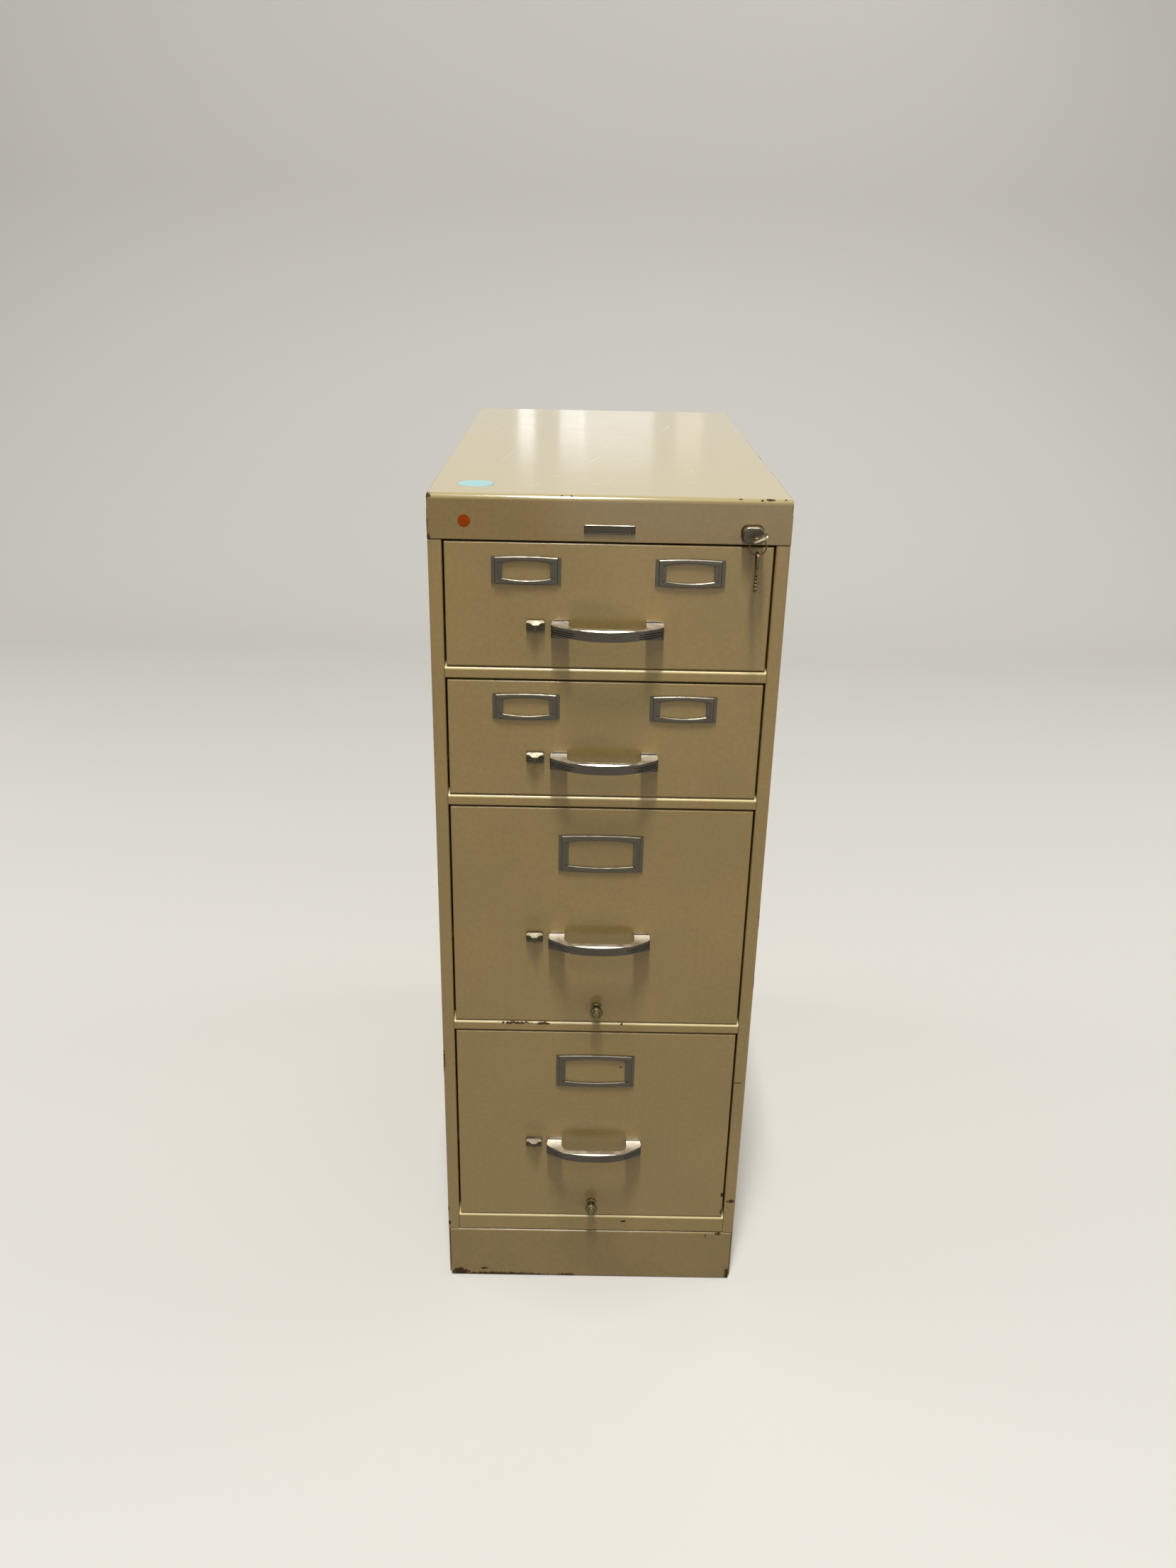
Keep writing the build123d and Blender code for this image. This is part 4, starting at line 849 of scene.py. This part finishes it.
@dataclass(frozen=True)
class DrawerFinishes:
    """The materials that the drawers share, each made once."""

    enamel: bpy.types.Material = field(default_factory=DRAWER_ENAMEL.build)
    zinc: bpy.types.Material = field(default_factory=ZINC.build)
    handle: bpy.types.Material = field(default_factory=CAST_ALUMINIUM.build)
    latch: bpy.types.Material = field(default_factory=LATCH_CAST.build)
    plate: bpy.types.Material = field(default_factory=LABEL_PLATE.build)
    follower: bpy.types.Material = field(default_factory=FOLLOWER_PAINT.build)
    rod: bpy.types.Material = field(default_factory=ROD_BRONZE.build)


@dataclass
class Drawer:
    """One drawer with its slides, handle, latch, label holders, followers and rod."""

    number: int
    kind: DrawerKind

    def build(self, finishes: DrawerFinishes) -> None:
        """Dress every piece of the drawer.

        Args:
            finishes: The materials of all the drawers.
        """
        number = self.number
        dress([f"drawer_front_{number}", f"drawer_body_{number}"], finishes.enamel)
        dress([f"drawer_runners_{number}", f"slides_{number}"], finishes.zinc)
        dress([f"handle_{number}"], finishes.handle)
        dress([f"thumb_latch_{number}"], finishes.latch)
        if self.kind is DrawerKind.CARD:
            dress([f"label_holders_{number}"], finishes.plate)
            dress([f"follower_{number}_left", f"follower_{number}_right"], finishes.follower)
        else:
            dress([f"label_holder_{number}"], finishes.plate)
            dress([f"follower_{number}"], finishes.follower)
            dress([f"guide_rod_{number}"], finishes.rod)
        LOG.info("%s drawer %d dressed", self.kind.value, number)


@dataclass
class PushLock:
    """The push lock with its key, split ring and spare key."""

    def build(self) -> None:
        """Dress the lock and what hangs on it."""
        nickel = LOCK_NICKEL.build()
        dress(["lock_housing", "lock_plunger", "lock_plug"], nickel)
        dress(["lock_key"], KEY_NICKEL_SILVER.build())
        dress(["spare_key"], SPARE_BRASS.build())
        dress(["key_ring"], RING_BRONZE.build())
        LOG.info("push lock dressed")


@dataclass(frozen=True)
class SoftLight:
    """A softbox: a square or long lamp face, which the camera sees only in reflections."""

    name: str
    place: tuple[float, float, float]
    aim: tuple[float, float, float]
    size: tuple[float, float]
    watts: float
    colour: str = "#ffffff"

    def build(self) -> None:
        """Hang the softbox and point it."""
        lamp = bpy.data.lights.new(self.name, "AREA")
        lamp.shape = "RECTANGLE"
        lamp.size, lamp.size_y = self.size
        lamp.energy = self.watts
        lamp.color = linear(self.colour)[:3]
        holder = bpy.data.objects.new(self.name, lamp)
        way = Vector(self.aim) - Vector(self.place)
        holder.rotation_euler = way.to_track_quat("-Z", "Y").to_euler()
        holder.location = self.place
        holder.visible_camera = False
        bpy.context.scene.collection.objects.link(holder)


@dataclass
class Studio:
    """A pale floor that curves up into a backdrop, softboxes, and the photograph's camera."""

    # Lengths without mm in their names are metres.
    frame_px: tuple[int, int] = (1659, 2212)
    focal_px: float = 1765.62
    sensor_mm: float = 36.0
    camera_from_front_mm: tuple[float, float, float] = (-25.945, -1301.969, 1293.160)
    camera_turn_deg: tuple[float, float, float] = (66.6341, -1.1218, 0.0768)
    floor_half: float = 6.0
    floor_front: float = -5.0
    wall_y: float = 4.0
    wall_height: float = 5.0
    sweep_radius: float = 1.5
    sweep_steps: int = 24
    view_reach: float = 50.0
    surround: str = "#f6f3ee"
    world_strength: float = 0.18
    world_seen: float = 0.55
    lights: tuple[SoftLight, ...] = (
        # Above: the steep strips give the long shadows under the handles.
        SoftLight("ceiling_strip_near", (-0.15, -1.85, 6.6), (-0.1, -0.4, 0.6), (0.42, 1.2), 365.0),
        SoftLight("ceiling_strip_far", (-0.15, -4.6, 6.6), (-0.1, -0.4, 0.6), (0.42, 3.2), 100.0),
        # Around: each side gets some light of its own.
        SoftLight("front_fill", (1.0, -3.6, 1.0), (0.1, -0.3, 0.4), (2.4, 1.6), 14.0),
        SoftLight("side_fill_left", (-4.0, 0.6, 1.8), (0.0, 0.0, 0.5), (2.0, 2.0), 45.0),
        SoftLight("side_fill_right", (4.0, 0.6, 1.8), (0.0, 0.0, 0.5), (2.0, 2.0), 45.0),
        SoftLight("rear_fill", (1.5, 3.0, 3.4), (0.0, 0.3, 0.5), (2.0, 2.0), 12.0),
        # Behind: what the top mirrors as soft bands.
        SoftLight("rear_glow", (0.0, 3.3, 1.6), (0.0, 0.3, 1.05), (1.8, 1.0), 1.7, "#f3f6f8"),
        SoftLight(
            "window_left", (-0.25, 3.2, 1.42), (-0.1, 0.3, 1.05), (0.06, 0.24), 0.045, "#f4f7ff"
        ),
        SoftLight(
            "window_middle", (-0.08, 3.2, 1.42), (-0.05, 0.3, 1.05), (0.09, 0.26), 0.055, "#f4f7ff"
        ),
        SoftLight(
            "window_wide", (0.09, 3.2, 1.44), (0.05, 0.3, 1.05), (0.27, 0.3), 0.10, "#f4f8ff"
        ),
        SoftLight(
            "window_right", (0.36, 3.2, 1.44), (0.15, 0.3, 1.05), (0.10, 0.24), 0.02, "#fff0d8"
        ),
    )

    def build(self) -> None:
        """Set the floor, the light and the camera."""
        self._floor()
        self._world()
        for light in self.lights:
            light.build()
        self._camera()
        LOG.info("studio set")

    def _floor(self) -> None:
        """One sheet: flat floor, a quarter round and the backdrop."""
        line = [(self.floor_front, 0.0), (self.wall_y - self.sweep_radius, 0.0)]
        for step in range(1, self.sweep_steps + 1):
            turn = math.pi / 2 * step / self.sweep_steps
            out = self.wall_y - self.sweep_radius + self.sweep_radius * math.sin(turn)
            line.append((out, self.sweep_radius * (1 - math.cos(turn))))
        line.append((self.wall_y, self.wall_height))
        points = [(side * self.floor_half, y, z) for y, z in line for side in (-1, 1)]
        faces = [(2 * i, 2 * i + 1, 2 * i + 3, 2 * i + 2) for i in range(len(line) - 1)]
        mesh = bpy.data.meshes.new("studio_sweep")
        mesh.from_pydata(points, [], faces)
        for face in mesh.polygons:
            face.use_smooth = True
        floor = bpy.data.objects.new("studio_sweep", mesh)
        link(floor, STUDIO_PAINT.build())

    def _world(self) -> None:
        """An even surround: pale to the eye and in mirrors, dim in the light that it gives."""
        world = bpy.data.worlds.new("studio_surround")
        bpy.context.scene.world = world
        world.use_nodes = True
        tree = world.node_tree
        background = tree.nodes["Background"]
        background.inputs["Color"].default_value = linear(self.surround)
        mix = {SHARE: seen_directly(tree), NUMBER_A: self.world_strength, NUMBER_B: self.world_seen}
        tree.links.new(add(tree, "Mix", mix).outputs[0], background.inputs["Strength"])

    def _camera(self) -> None:
        """The photograph's own viewpoint."""
        data = bpy.data.cameras.new("photo_camera")
        data.sensor_fit = "VERTICAL"
        data.sensor_height = self.sensor_mm
        data.lens = self.focal_px / self.frame_px[1] * self.sensor_mm
        data.clip_end = self.view_reach
        camera = bpy.data.objects.new("photo_camera", data)
        front = Vector((0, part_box("top_cover")[0].y, 0))
        camera.location = front + Vector(self.camera_from_front_mm) * MM
        camera.rotation_euler = Euler([math.radians(v) for v in self.camera_turn_deg])
        bpy.context.scene.collection.objects.link(camera)
        bpy.context.scene.camera = camera


def main() -> None:
    """Dress the cabinet from its case inwards, then set the studio."""
    logging.basicConfig(level=logging.INFO, format="%(name)s: %(message)s")
    bpy.context.scene.view_settings.view_transform = "Standard"
    CaseShell().build()
    finishes = DrawerFinishes()
    kinds = (DrawerKind.CARD, DrawerKind.CARD, DrawerKind.LETTER, DrawerKind.LETTER)
    for number, kind in enumerate(kinds, start=1):
        Drawer(number, kind).build(finishes)
    PushLock().build()
    Studio().build()


if __name__ == "__main__":
    main()
